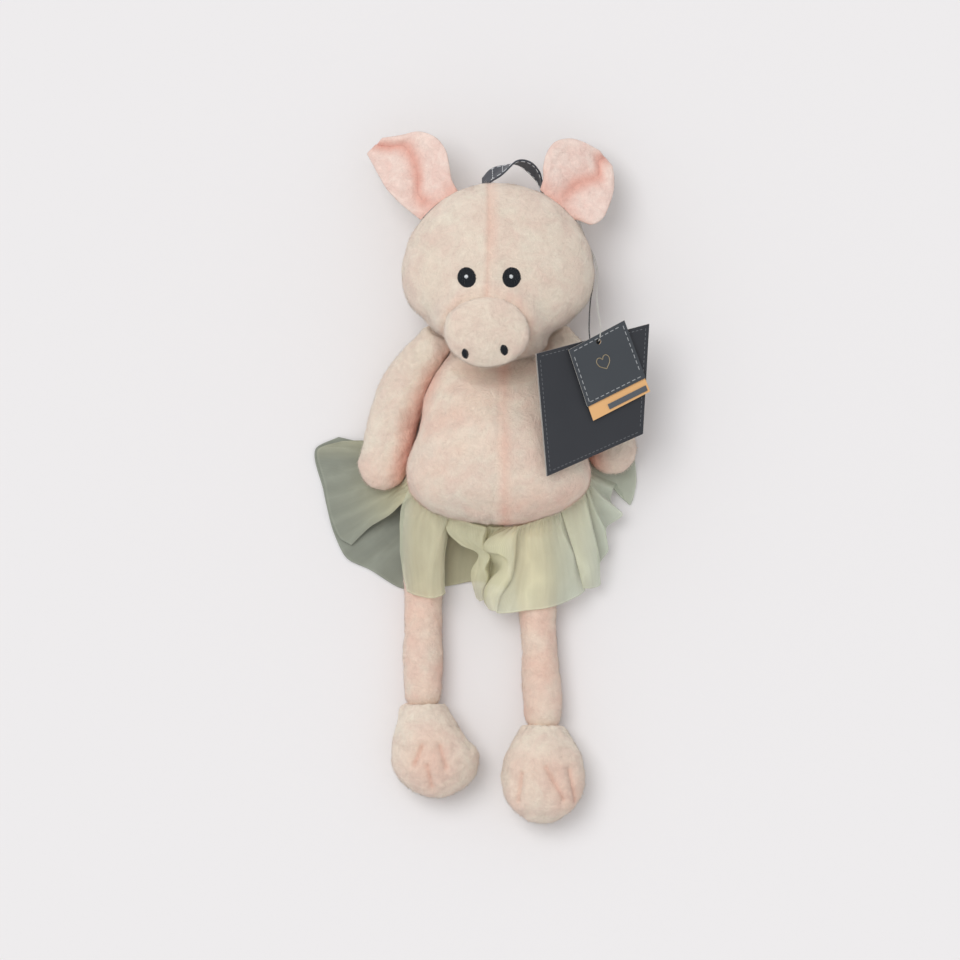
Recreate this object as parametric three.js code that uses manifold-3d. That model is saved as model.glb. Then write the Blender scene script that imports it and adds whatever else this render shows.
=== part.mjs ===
// A plush pig lying on its back: stuffed torso, head, arms, legs and feet, two folded ears, a gathered
// organza skirt, a ribbon loop in the top of the head and two hang tags on strings.
// Millimetres, +Z up. Origin on the flat of the torso's back, +Y to the head, +X to the toy's own left.
import * as THREE from 'three';
import { mergeVertices } from 'three/addons/utils/BufferGeometryUtils.js';
import Module from 'manifold-3d';

const wasm = await Module();
wasm.setup();

// Cloth and clearances
const FABRIC = 1.8;          // plush cloth with its pile
const SEAM_GAP = 0.4;        // slit between two panels where the seam thread runs
const FILL_GAP = 0.6;        // between a cover and its stuffing
const FIT = 0.4;             // between neighbouring pieces
const FLAT = 0.5;            // depth of the flats that the toy lies on
const ORGANZA = 0.9;         // skirt cloth with its gathers pressed together
const CARD = 0.7;            // hang-tag board
const PAPER = 0.3;           // price label

// Torso, a pear whose neck is at the top
const TORSO_BELLY_WIDTH = 121;
const TORSO_BELLY_DEPTH = 76;
const TORSO_WAIST_WIDTH = 102;
const TORSO_WAIST_DEPTH = 72;
const TORSO_CHEST_WIDTH = 86;
const TORSO_CHEST_DEPTH = 54;
const TORSO_BIB_WIDTH = 70;  // just under the neck
const TORSO_BIB_DEPTH = 50;
const NECK_WIDTH = 58;
const NECK_DEPTH = 41;
const NECK_Y = 62;           // the neck turns about an upright line here
const BELLY_Y = -24;
const WAIST_Y = 8;
const CHEST_Y = 37;
const RIM_Y = -56;
const BELLY_SHIFT = 1.5;     // the belly leans a little to the toy's left
const NECK_SWEEP = 36;       // radius that the back of the head clears round the neck
const CHIN_PASS_Y = 47.5;    // the chest is low above here, so that the chin passes over it

// Head
const HEAD_WIDTH = 127;
const HEAD_DEPTH = 90;
const HEAD_Y = 108;
const HEAD_TOP_Y = 169.6;
const CHEEK_WIDTH = 119;
const CHEEK_Y = 92;
const JAW_WIDTH = 96;
const JAW_Y = 79;
const CHIN_WIDTH = 66;
const CHIN_START_Y = 65.7;
const CHIN_Y = 52;
const FACE_SEAM_X = -4.9;    // forehead seam, off centre because the face is turned a little
const HEAD_X = 1;

// Muzzle
const MUZZLE_WIDTH = 56.6;
const MUZZLE_HEIGHT = 48.6;
const MUZZLE_X = -5.9;
const MUZZLE_Y = 71.2;
const MUZZLE_FRONT_Z = 103;
const MUZZLE_ROUND = 9;      // how far its front swells
const MUZZLE_LENGTH = 38;    // from its front down to where its cloth ends on the face

// Face embroidery
const EYE_WIDTH = 12;
const EYE_HEIGHT = 13.5;
const EYE_Y = 107.3;
const EYE_LEFT_X = 10.2;
const EYE_RIGHT_X = -19.3;
const GLINT_SIZE = 3.3;
const STITCH_RISE = 0.9;     // embroidery stands this far out of the cloth
const NOSTRIL_WIDTH = 5;
const NOSTRIL_HEIGHT = 7;
const NOSTRIL_LEFT = [5.3, 59.4];
const NOSTRIL_RIGHT = [-20.3, 57];

// Limbs: widths are across the lying toy, depths are upright. The left leg lies straighter, so it shows longer.
const ARM_WIDTH = 33;
const ARM_DEPTH = 26;
const SHOULDER_WIDTH = 24;
const ARM_Z = 17.6;
const LEG_WIDTH = 25.4;
const LEG_DEPTH = 25.4;
const LEG_Z = 14.9;
const LEG_RIGHT_LENGTH = 121;    // hip to ankle
const LEG_LEFT_LENGTH = 128;
const ARM_FIT = 0.8;         // an arm's clearance to the head and torso, which it swings past
const SEAM_MOUTH = 5;        // radius of the opening that a limb is stuffed through
const FOOT_RIGHT_WIDTH = 57.4;
const FOOT_LEFT_WIDTH = 54.8;
const FOOT_RIGHT_LENGTH = 70;    // ankle to toe
const FOOT_LEFT_LENGTH = 73;
const FOOT_DEPTH = 42;
const TOE_TUCK_DEPTH = 2.2;
const TOE_TUCK_WIDTH = 1.6;

// Ears
const EAR_LAYER = 2.8;
const EAR_Z = HEAD_DEPTH / 2 + 1;
const EAR_DROOP = 14;
const EAR_VALLEY = 7;

// Ribbon loop
const RIBBON_WIDTH = 15;
const RIBBON_THICKNESS = 1;

// Tags and strings
const TAG_TILT = 21.8;       // degrees, down towards the toy's left
const LARGE_HOLE = [62, 62.6, 67.6];    // where the strings reach the tags' top faces
const SMALL_HOLE = [66.4, 65];
const TAG_LIFT = 1.9;        // room between the two tags for the dark string
const LARGE_TAG_FOLD_GAP = 0.5;
const HOLE = 3.7;
const STRING_DARK = 1;
const STRING_LIGHT = 0.8;

const group = new THREE.Group();
const V = (x, y, z) => new THREE.Vector3(x, y, z);
const UP = V(0, 0, 1);
const DOWN_BODY = V(0, -1, 0);

const material = (hex, roughness, opacity = 1) => new THREE.MeshStandardMaterial({
  color: hex, roughness, metalness: 0, transparent: opacity < 1, opacity,
});
const PLUSH = material(0xe3c9ba, 0.95);
const EAR_PINK = material(0xd3b1a7, 0.9);
const FIBRE = material(0xf2f0ea, 0.98);
const BLACK_THREAD = material(0x20262c, 0.6);
const WHITE_THREAD = material(0xe8ebec, 0.6);
const SAGE = material(0xbdb38f, 0.6, 0.9);
const RIBBON = material(0x606471, 0.6);
const DARK_CARD = material(0x3d3f43, 0.75);
const DARK_CARD_SMALL = material(0x494d50, 0.75);
const KRAFT = material(0xdeb07d, 0.85);
const LABEL = material(0xb9bcc0, 0.8);
const DARK_STRING = material(0x3a3b3f, 0.8);
const LIGHT_STRING = material(0xb9b9b4, 0.7);

// Turns a geometry into a solid that can be cut, with its shared vertices merged.
function solid(geometry) {
  const g = geometry.clone();
  g.deleteAttribute('normal');
  g.deleteAttribute('uv');
  const merged = mergeVertices(g, 1e-3);
  return new wasm.Manifold(new wasm.Mesh({
    numProp: 3,
    vertProperties: new Float32Array(merged.attributes.position.array),
    triVerts: new Uint32Array(merged.index.array),
  }));
}

function add(name, shape, look) {
  const mesh = shape.getMesh();
  const g = new THREE.BufferGeometry();
  g.setAttribute('position', new THREE.BufferAttribute(new Float32Array(mesh.vertProperties), 3));
  g.setIndex(new THREE.BufferAttribute(new Uint32Array(mesh.triVerts), 1));
  g.computeVertexNormals();
  const node = new THREE.Mesh(g, look);
  node.name = name;
  group.add(node);
}

// Closes a stack of rings with the same number of points into one skin, a fan at each end.
function skin(rings) {
  const n = rings[0].length;
  const points = rings.flat();
  const faces = [];
  for (let r = 0; r + 1 < rings.length; r++) {
    for (let i = 0; i < n; i++) {
      const a = r * n + i;
      const b = r * n + (i + 1) % n;
      faces.push(a, b, b + n, a, b + n, a + n);
    }
  }
  [0, rings.length - 1].forEach((r, k) => {
    const middle = rings[r].reduce((sum, p) => sum.add(p), V(0, 0, 0)).divideScalar(n);
    points.push(middle);
    for (let i = 0; i < n; i++) {
      const a = r * n + i;
      const b = r * n + (i + 1) % n;
      if (k === 0) faces.push(points.length - 1, b, a);
      else faces.push(points.length - 1, a, b);
    }
  });
  let volume = 0;
  for (let f = 0; f < faces.length; f += 3) {
    const [p, q, s] = [points[faces[f]], points[faces[f + 1]], points[faces[f + 2]]];
    volume += p.dot(q.clone().cross(s));
  }
  if (volume < 0) faces.reverse();
  const g = new THREE.BufferGeometry();
  g.setAttribute('position', new THREE.Float32BufferAttribute(points.flatMap((p) => p.toArray()), 3));
  g.setIndex(faces);
  return g;
}

// A stuffed form: elliptical sections [x, y, z, width, depth], square to the line through their centres
// or to a given axis, closed at each end by a dome of the given length. Inset shrinks it all round.
function stuffed({ at, caps = [0, 0], sides = 20, steps = 3, top = UP, axis = null, inset = 0, coarse = 1 }) {
  const centre = at.map(([x, y, z]) => V(x, y, z));
  const rings = [];
  const ring = (c, along, width, depth) => {
    const side = along.clone().cross(top).normalize();
    const lift = side.clone().cross(along).normalize();
    const points = [];
    for (let i = 0; i < sides; i += coarse) {
      const a = (2 * Math.PI * (i + 0.5)) / sides;
      const [u, v] = [width * Math.cos(a), depth * Math.sin(a)];
      points.push(c.clone().addScaledVector(side, u).addScaledVector(lift, v));
    }
    rings.push(points);
  };
  const half = (size, scale) => Math.max((size / 2 - inset) * scale, 0.3);
  const dome = (end, length, outward) => {
    const [, , , w, d] = at[end];
    const turns = Array.from({ length: steps }, (_, i) => ((i + 1) / (steps + 0.35)) ** 0.65 * (Math.PI / 2));
    if (end === 0) turns.reverse();
    for (const a of turns) {
      const k = Math.cos(a);
      const c = centre[end].clone().addScaledVector(outward, (length - inset) * Math.sin(a));
      ring(c, outward.clone().multiplyScalar(end === 0 ? -1 : 1), half(w, k), half(d, k));
    }
  };
  const last = at.length - 1;
  const startDir = axis ? axis.clone().negate() : centre[0].clone().sub(centre[1]).normalize();
  const endDir = axis || centre[last].clone().sub(centre[last - 1]).normalize();
  if (caps[0]) dome(0, caps[0], startDir);
  at.forEach(([, , , w, d], i) => {
    const along = axis || centre[Math.min(i + 1, last)].clone().sub(centre[Math.max(i - 1, 0)]).normalize();
    ring(centre[i], along, half(w, 1), half(d, 1));
  });
  if (caps[1]) dome(last, caps[1], endDir);
  return solid(skin(rings));
}

// A block between two corners, for cutting.
function block(low, high) {
  const size = high.map((h, i) => h - low[i]);
  const g = new THREE.BoxGeometry(...size);
  g.translate(...high.map((h, i) => (h + low[i]) / 2));
  return solid(g);
}

// A round cutter along X, Y or Z.
function rod(centre, radius, length, axis, sides = 32) {
  const g = new THREE.CylinderGeometry(radius, radius, length, sides);
  if (axis === 'x') g.rotateZ(Math.PI / 2);
  if (axis === 'z') g.rotateX(Math.PI / 2);
  g.translate(...centre);
  return solid(g);
}

const FAR = 400;
const below = (z) => block([-FAR, -FAR, -FAR], [FAR, FAR, z]);

// A stuffed part is a cloth cover with an open inside and the stuffing that fills it. cuts(more) gives the
// solid that the part keeps clear of, grown by more for the inner faces. The inside has half the facets.
function coverOf(form, cuts, floor) {
  const layer = (inset) => {
    let s = stuffed({ ...form, inset, coarse: inset > 0 ? 2 : 1 });
    const away = cuts && cuts(inset);
    if (away) s = s.subtract(away);
    return floor ? s.subtract(below(inset)) : s;
  };
  return { outer: layer(0), cover: layer(0).subtract(layer(FABRIC)), layer };
}
const stuffingOf = (form, cuts, floor) => coverOf(form, cuts, floor).layer(FABRIC + FILL_GAP);
const union = (solids) => solids.reduce((a, b) => a.add(b));

// Torso
const torsoForm = {
  at: [
    [0, NECK_Y - 2, NECK_DEPTH / 2 - FLAT, NECK_WIDTH, NECK_DEPTH],
    [0, NECK_Y - 12, TORSO_BIB_DEPTH / 2 - FLAT, TORSO_BIB_WIDTH, TORSO_BIB_DEPTH],
    [0, CHEST_Y, TORSO_CHEST_DEPTH / 2 - FLAT, TORSO_CHEST_WIDTH, TORSO_CHEST_DEPTH],
    [BELLY_SHIFT / 2, WAIST_Y, TORSO_WAIST_DEPTH / 2 - FLAT, TORSO_WAIST_WIDTH, TORSO_WAIST_DEPTH],
    [BELLY_SHIFT, BELLY_Y, TORSO_BELLY_DEPTH / 2 - FLAT, TORSO_BELLY_WIDTH, TORSO_BELLY_DEPTH],
  ],
  caps: [NECK_WIDTH / 2, BELLY_Y - RIM_Y],
  sides: 24,
  steps: 5,
  axis: DOWN_BODY,
};
const hips = {
  right: { x: -47.6, y: -45, ankleX: -48.2, ankleY: -45 - LEG_RIGHT_LENGTH },
  left: { x: 24, y: -52, ankleX: 31, ankleY: -52 - LEG_LEFT_LENGTH },
};
const HIP_LIFTS = [12, 23, 34, 45];   // degrees that the leg passes through under the belly
const hipCut = (more) => union([hips.right, hips.left].map(({ x, y }) => {
  const half = LEG_WIDTH / 2 + FIT + more;
  const turned = HIP_LIFTS.map((lift) => {
    const leg = new THREE.CylinderGeometry(half, half, 80, 20);
    leg.translate(0, -40, 0);
    leg.rotateX(-THREE.MathUtils.degToRad(lift));
    leg.translate(x, y, LEG_Z);
    return solid(leg);
  });
  return union(turned).add(rod([x, y, LEG_Z], LEG_DEPTH / 2 + FIT + more, 2 * half, 'x', 24))
    .add(block([x - half, -FAR, -FAR], [x + half, y, LEG_Z + more]));
}));
const chinPass = (more) => block([-FAR, CHIN_PASS_Y - more, NECK_DEPTH - FLAT - more], [FAR, FAR, FAR]);
const torsoCuts = (more) => hipCut(more).add(chinPass(more));
const torso = coverOf(torsoForm, torsoCuts, true);
const torsoSeam = TORSO_CHEST_DEPTH / 2;
const upper = (z) => block([-FAR, -FAR, z + SEAM_GAP / 2], [FAR, FAR, FAR]);
const leftOf = (x) => block([x + SEAM_GAP / 2, -FAR, -FAR], [FAR, FAR, FAR]);
const rightOf = (x) => block([-FAR, -FAR, -FAR], [x - SEAM_GAP / 2, FAR, FAR]);
const torsoFront = torso.cover.intersect(upper(torsoSeam));
add('torso_front_left', torsoFront.intersect(leftOf(0)), PLUSH);
add('torso_front_right', torsoFront.intersect(rightOf(0)), PLUSH);
add('torso_back', torso.cover.intersect(below(torsoSeam - SEAM_GAP / 2)), PLUSH);
add('torso_stuffing', stuffingOf(torsoForm, torsoCuts, true), FIBRE);
const torsoRoom = stuffed({ ...torsoForm, inset: -FIT });

// Head: full above, drawn in below to the chin behind the muzzle
const headForm = {
  at: [
    [HEAD_X, HEAD_Y, HEAD_DEPTH / 2 - FLAT, HEAD_WIDTH, HEAD_DEPTH],
    [HEAD_X, CHEEK_Y, HEAD_DEPTH / 2 - FLAT, CHEEK_WIDTH, HEAD_DEPTH - 2],
    [HEAD_X, JAW_Y, HEAD_DEPTH / 2 - FLAT, JAW_WIDTH, HEAD_DEPTH - 8],
    [HEAD_X, CHIN_START_Y, HEAD_DEPTH / 2 - FLAT, CHIN_WIDTH, HEAD_DEPTH - 22],
  ],
  caps: [HEAD_TOP_Y - HEAD_Y, CHIN_START_Y - CHIN_Y],
  sides: 28,
  steps: 5,
  axis: DOWN_BODY,
};
const neckPass = (more) => block([-FAR, -FAR, -FAR], [FAR, FAR, NECK_DEPTH - FLAT + FIT + more])
  .intersect(rod([0, NECK_Y, 0], NECK_SWEEP + FIT + more, 2 * FAR, 'z', 36));
const head = coverOf(headForm, neckPass, true);
const headSeam = Math.max(HEAD_DEPTH / 2 - FLAT, NECK_DEPTH + 3);
const face = head.cover.intersect(upper(headSeam));
const headRoom = stuffed({ ...headForm, inset: -FIT });

// Muzzle: a flat-fronted cap on the face, its cloth open towards the head
const muzzleForm = {
  at: [
    [MUZZLE_X, MUZZLE_Y + 4.8, MUZZLE_FRONT_Z - 37, MUZZLE_WIDTH - 4, MUZZLE_HEIGHT - 8],
    [MUZZLE_X, MUZZLE_Y + 1.2, MUZZLE_FRONT_Z - 17, MUZZLE_WIDTH, MUZZLE_HEIGHT],
    [MUZZLE_X, MUZZLE_Y, MUZZLE_FRONT_Z - MUZZLE_ROUND, MUZZLE_WIDTH - 1.5, MUZZLE_HEIGHT - 2.5],
  ],
  caps: [0, MUZZLE_ROUND],
  sides: 24,
  steps: 4,
  top: V(0, 1, 0),
};
const muzzleFoot = MUZZLE_FRONT_Z - MUZZLE_LENGTH;
const muzzleBase = (more) => stuffed({ ...headForm, inset: -FIT - more }).add(below(muzzleFoot + more));
const muzzleInner = (inset) => stuffed({ ...muzzleForm, inset, coarse: 2 });
const muzzleHollow = muzzleInner(FABRIC).subtract(below(muzzleFoot - FABRIC));
add('muzzle_cover', stuffed(muzzleForm).subtract(muzzleBase(0)).subtract(muzzleHollow), PLUSH);
add('muzzle_stuffing', muzzleInner(FABRIC + FILL_GAP).subtract(muzzleBase(FILL_GAP)), FIBRE);

// Eyes and nostrils: embroidered ovals between two skins raised over the cloth of a form, above height from.
function embroidery(name, { at: [x, y], size: [width, height], lean = 0, on, low, high, from, look }) {
  const oval = new THREE.CylinderGeometry(0.5, 0.5, FAR, 18);
  oval.rotateX(Math.PI / 2);
  oval.scale(width, height, 1);
  oval.rotateZ(THREE.MathUtils.degToRad(lean));
  oval.translate(x, y, from + FAR / 2);
  const skins = [low, high].map((rise) => stuffed({ ...on, inset: -rise }));
  add(name, solid(oval).subtract(skins[0]).intersect(skins[1]), look);
}
const black = { low: FIT, high: FIT + STITCH_RISE, look: BLACK_THREAD };
const white = { low: FIT + STITCH_RISE + 0.3, high: FIT + STITCH_RISE + 1, look: WHITE_THREAD };
const EYE = { ...black, size: [EYE_WIDTH, EYE_HEIGHT], on: headForm, from: headSeam };
const GLINT = { ...white, size: [GLINT_SIZE, GLINT_SIZE], on: headForm, from: headSeam };
const NOSTRIL = { ...black, lean: 14, on: muzzleForm, from: MUZZLE_FRONT_Z - 12 };
embroidery('eye_left', { ...EYE, at: [EYE_LEFT_X, EYE_Y], lean: -10 });
embroidery('eye_right', { ...EYE, at: [EYE_RIGHT_X, EYE_Y], lean: 16 });
embroidery('eye_glint_left', { ...GLINT, at: [EYE_LEFT_X - 0.4, EYE_Y - 0.6] });
embroidery('eye_glint_right', { ...GLINT, at: [EYE_RIGHT_X, EYE_Y - 0.6] });
embroidery('nostril_left', { ...NOSTRIL, at: NOSTRIL_LEFT, size: [NOSTRIL_WIDTH, NOSTRIL_HEIGHT] });
embroidery('nostril_right', { ...NOSTRIL, at: NOSTRIL_RIGHT, size: [NOSTRIL_WIDTH - 0.8, NOSTRIL_HEIGHT - 0.4] });
add('face_left', face.intersect(leftOf(FACE_SEAM_X)), PLUSH);
add('face_right', face.intersect(rightOf(FACE_SEAM_X)), PLUSH);
add('head_back', head.cover.intersect(below(headSeam - SEAM_GAP / 2)), PLUSH);
add('head_stuffing', stuffingOf(headForm, neckPass, true), FIBRE);

// Arms: sewn in under the cheeks, drawn in at the shoulder, hands round
const shoulders = {
  right: [[-40, 64], [-53.5, 46], [-64, 25], [-70, 5], [-74.6, -16.5]],
  left: [[40, 65], [53, 48], [64, 28], [72, 10], [76, -6]],
};
// [head turn, arm swing] in degrees: the arm clears the cheek at each of these.
const CHEEK_PASSES = {
  right: [[-6, 0], [2, 0], [9, 0], [9, 15], [9, 30], [9, 45]],
  left: [[-6, 0], [2, 0], [9, 0], [-6, 15], [-6, 30], [-6, 45]],
};
const turnAbout = ([x, y], degrees) => new THREE.Matrix4().makeTranslation(x, y, 0)
  .multiply(new THREE.Matrix4().makeRotationZ(THREE.MathUtils.degToRad(degrees)))
  .multiply(new THREE.Matrix4().makeTranslation(-x, -y, 0));
const armBack = (side, swing) => turnAbout(shoulders[side][0], side === 'left' ? -swing : swing);
const cheekRoom = (side, more) => union(CHEEK_PASSES[side].map(([turn, swing]) => {
  const cheek = armBack(side, swing).multiply(turnAbout([0, NECK_Y], turn));
  return stuffed({ ...headForm, inset: -ARM_FIT - more }).transform(cheek.elements);
}));
const chestRoom = (side, more) => union([0, 37].map((swing) => (
  stuffed({ ...torsoForm, inset: -ARM_FIT - more }).transform(armBack(side, swing).elements))));
const mouthAt = ([x, y, z]) => rod([x, y + FAR / 2, z], SEAM_MOUTH, FAR, 'y', 12);
for (const side of ['left', 'right']) {
  const widths = [SHOULDER_WIDTH, ARM_WIDTH - 3, ARM_WIDTH, ARM_WIDTH, ARM_WIDTH];
  const depths = [SHOULDER_WIDTH - 3, ARM_DEPTH - 2, ARM_DEPTH, ARM_DEPTH, ARM_DEPTH];
  const form = {
    at: shoulders[side].map(([x, y], i) => [x, y, ARM_Z, widths[i], depths[i]]),
    caps: [SHOULDER_WIDTH / 2, ARM_WIDTH / 2],
    sides: 16,
  };
  const cuts = (more) => cheekRoom(side, more).add(chestRoom(side, more));
  const [[x, y]] = shoulders[side];
  const opening = mouthAt([x, y, ARM_Z]);
  add(`arm_${side}_cover`, coverOf(form, cuts, false).cover.subtract(opening), PLUSH);
  add(`arm_${side}_stuffing`, stuffingOf(form, cuts, false), FIBRE);
}

// Legs: long soft tubes sewn in under the belly, round at both ends where the cloth turns in its seams
for (const side of ['left', 'right']) {
  const { x, y, ankleX, ankleY } = hips[side];
  const along = (t, w, d) => [x + (ankleX - x) * t, y + (ankleY - y) * t, LEG_Z, LEG_WIDTH * w, LEG_DEPTH * d];
  const knee = side === 'left' ? 0.9 : 0.96;
  const form = {
    at: [
      along(0, 1, 1), along(0.35, 1.03, 1), along(0.66, knee, 0.96), along(0.82, 1.02, 1), along(1, 0.96, 1),
    ],
    caps: [LEG_DEPTH / 2, LEG_DEPTH / 2],
    sides: 16,
    axis: DOWN_BODY,
  };
  const opening = mouthAt([x, y, LEG_Z]);
  add(`leg_${side}_cover`, coverOf(form, null, false).cover.subtract(opening), PLUSH);
  add(`leg_${side}_stuffing`, stuffingOf(form, null, false), FIBRE);
}

// Feet: bulbs gathered round the ankles, growing to full width by the two shares in swell, with three
// stitched tucks for toes, each from one point to another measured from the ankle
const feet = {
  right: {
    width: FOOT_RIGHT_WIDTH, drift: 8.6, length: FOOT_RIGHT_LENGTH, swell: [0.63, 0.84],
    tucks: [[-0.8, -36, -5.8, -48], [11.2, -36, 15.2, -50], [2.7, -49, 5.7, -62]],
  },
  left: {
    width: FOOT_LEFT_WIDTH, drift: 0, length: FOOT_LEFT_LENGTH, swell: [0.71, 0.94],
    tucks: [[-14, -40, -16.4, -58], [2, -36, 13.5, -57], [17.6, -38, 21, -58]],
  },
};
const ankleCut = ({ ankleX, ankleY }, more) => (
  rod([ankleX, ankleY, LEG_Z], LEG_DEPTH / 2 + FIT + more, FAR, 'x', 24));
for (const side of ['left', 'right']) {
  const { ankleX, ankleY } = hips[side];
  const { width, drift, length, swell, tucks } = feet[side];
  const start = ankleY - LEG_DEPTH * 0.36;
  const end = ankleY - length;
  const z = FOOT_DEPTH / 2 - FLAT;
  const form = {
    at: [
      [ankleX, start, LEG_Z + 0.6, LEG_WIDTH + 4, LEG_DEPTH + 1.6],
      [ankleX + drift * 0.2, start - 9, z - 2, width * swell[0], FOOT_DEPTH * 0.86],
      [ankleX + drift * 0.55, start - 22, z, width * swell[1], FOOT_DEPTH],
      [ankleX + drift, start - 33, z, width, FOOT_DEPTH],
    ],
    caps: [0, start - 33 - end],
    sides: 20,
    steps: 4,
    axis: DOWN_BODY,
  };
  const tuck = (more) => union(tucks.map(([x0, y0, x1, y1]) => {
    const slit = new THREE.BoxGeometry(TOE_TUCK_WIDTH + 2 * more, Math.hypot(x1 - x0, y1 - y0), FAR);
    slit.rotateZ(Math.atan2(y1 - y0, x1 - x0) - Math.PI / 2);
    slit.translate(ankleX + (x0 + x1) / 2, ankleY + (y0 + y1) / 2, FAR / 2 + FOOT_DEPTH / 2);
    return solid(slit);
  })).subtract(stuffed({ ...form, inset: TOE_TUCK_DEPTH + more }));
  const cuts = (more) => ankleCut(hips[side], more);
  const foot = coverOf(form, cuts, true);
  const opened = stuffed({ ...form, coarse: 2, inset: FABRIC + TOE_TUCK_DEPTH }).subtract(below(FABRIC));
  add(`foot_${side}_cover`, foot.outer.subtract(tuck(0)).subtract(opened), PLUSH);
  const filling = stuffed({ ...form, coarse: 2, inset: FABRIC + TOE_TUCK_DEPTH + FILL_GAP });
  const keepOut = cuts(FABRIC + FILL_GAP).add(below(FABRIC + FILL_GAP));
  add(`foot_${side}_stuffing`, filling.subtract(keepOut), FIBRE);
}

// Cloth or card of even thickness under a grid of points on its upper side.
function sheet(rows, thickness) {
  const [R, C] = [rows.length, rows[0].length];
  const at = (i, j) => rows[Math.max(0, Math.min(R - 1, i))][Math.max(0, Math.min(C - 1, j))];
  const normal = (i, j) => at(i + 1, j).clone().sub(at(i - 1, j))
    .cross(at(i, j + 1).clone().sub(at(i, j - 1))).normalize();
  const flip = Math.sign(normal(R >> 1, C >> 1).z);
  const lowered = (p, i, j) => p.clone().addScaledVector(normal(i, j), -thickness * flip);
  const under = rows.map((row, i) => row.map((p, j) => lowered(p, i, j)));
  const points = [...rows.flat(), ...under.flat()];
  const id = (side, i, j) => side * R * C + i * C + j;
  const faces = [];
  const quad = (a, b, c, d) => faces.push(a, b, c, a, c, d);
  for (let i = 0; i + 1 < R; i++) {
    for (let j = 0; j + 1 < C; j++) {
      quad(id(0, i, j), id(0, i + 1, j), id(0, i + 1, j + 1), id(0, i, j + 1));
      quad(id(1, i, j), id(1, i, j + 1), id(1, i + 1, j + 1), id(1, i + 1, j));
    }
    quad(id(0, i, 0), id(1, i, 0), id(1, i + 1, 0), id(0, i + 1, 0));
    quad(id(0, i, C - 1), id(0, i + 1, C - 1), id(1, i + 1, C - 1), id(1, i, C - 1));
  }
  for (let j = 0; j + 1 < C; j++) {
    quad(id(0, 0, j), id(0, 0, j + 1), id(1, 0, j + 1), id(1, 0, j));
    quad(id(0, R - 1, j), id(1, R - 1, j), id(1, R - 1, j + 1), id(0, R - 1, j + 1));
  }
  const g = new THREE.BufferGeometry();
  g.setAttribute('position', new THREE.Float32BufferAttribute(points.flatMap((p) => p.toArray()), 3));
  g.setIndex(flip > 0 ? faces : faces.reverse());
  return solid(g);
}

// Ears: two layers of cloth folded into a valley. Each outline entry is
// [distance from the base seam, low side, high side, place of the valley].
const ears = {
  left: {
    base: [40.4, HEAD_TOP_Y - 12.6], turn: 40,
    outline: [
      [-3, -12, 13, 0], [3, -17, 17, 0], [9, -26, 24, 0.5], [16, -27, 29, 1],
      [23, -24, 31, -1], [31, -19, 28, -4], [38, -12, 19, 3], [42.5, -5, 8, 2],
    ],
  },
  right: {
    base: [-38.3, HEAD_TOP_Y - 13.6], turn: 134.7,
    outline: [
      [-3, -14.5, 14.5, 0], [5, -17, 15.5, 5], [13, -22.5, 16.5, 5], [22, -28, 17, -3],
      [32, -29, 16.5, -9], [41, -25, 14, -11], [49, -13.5, 11.5, -4], [56, -4, 9.5, 2],
    ],
  },
};
for (const side of ['left', 'right']) {
  const { base: [bx, by], turn, outline } = ears[side];
  const dir = V(1, 0, 0).applyAxisAngle(UP, THREE.MathUtils.degToRad(turn));
  const across = V(0, 1, 0).applyAxisAngle(UP, THREE.MathUtils.degToRad(turn));
  const reach = outline.at(-1)[0];
  const surface = (drop) => outline.map(([u, low, high, valley]) => {
    const row = [];
    for (let k = -4; k <= 4; k++) {
      const v = k < 0 ? valley + (low - valley) * (-k / 4) : valley + (high - valley) * (k / 4);
      const rim = 1 - Math.abs(k) / 4;
      const t = Math.max(u, 0) / reach;
      const dip = EAR_DROOP * t * t + EAR_VALLEY * rim * Math.min(1, 3 * t) + 3 * (1 - rim) ** 4 * t;
      row.push(V(bx, by, EAR_Z - drop - dip).addScaledVector(dir, u).addScaledVector(across, v));
    }
    return row;
  });
  add(`ear_${side}_inner`, sheet(surface(0), EAR_LAYER).subtract(headRoom), EAR_PINK);
  add(`ear_${side}_back`, sheet(surface(1.5 * EAR_LAYER + FIT), EAR_LAYER).subtract(headRoom), PLUSH);
}

// Skirt: one gathered strip seen as four stretches. Each runs from its waist points, tucked into the belly
// seam, to its hem points; fall says how soon it drops, and folds and wave make its pleats.
const SKIRT_ROWS = [0, 0.12, 0.28, 0.5, 0.75, 1];
function pleats({ waist, hem, fall = [1, 1], folds = 0, wave = 0, columns = 16, rows = SKIRT_ROWS }) {
  const from = new THREE.CatmullRomCurve3(waist.map((p) => V(...p)));
  const to = new THREE.CatmullRomCurve3(hem.map((p) => V(...p)));
  return sheet(rows.map((t) => Array.from({ length: columns + 1 }, (_, j) => {
    const s = j / columns;
    const [a, b] = [from.getPoint(s), to.getPoint(s)];
    const p = a.clone().lerp(b, t);
    const power = fall[0] + (fall[1] - fall[0]) * s;
    p.z = b.z + (a.z - b.z) * (1 - t) ** power + wave * t * (1 - Math.cos(2 * Math.PI * folds * s)) / 2;
    return p;
  })), ORGANZA);
}
const floorCloth = ORGANZA + 0.4;
const overLeg = LEG_Z + LEG_DEPTH / 2 + ORGANZA + 0.9;
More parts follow.
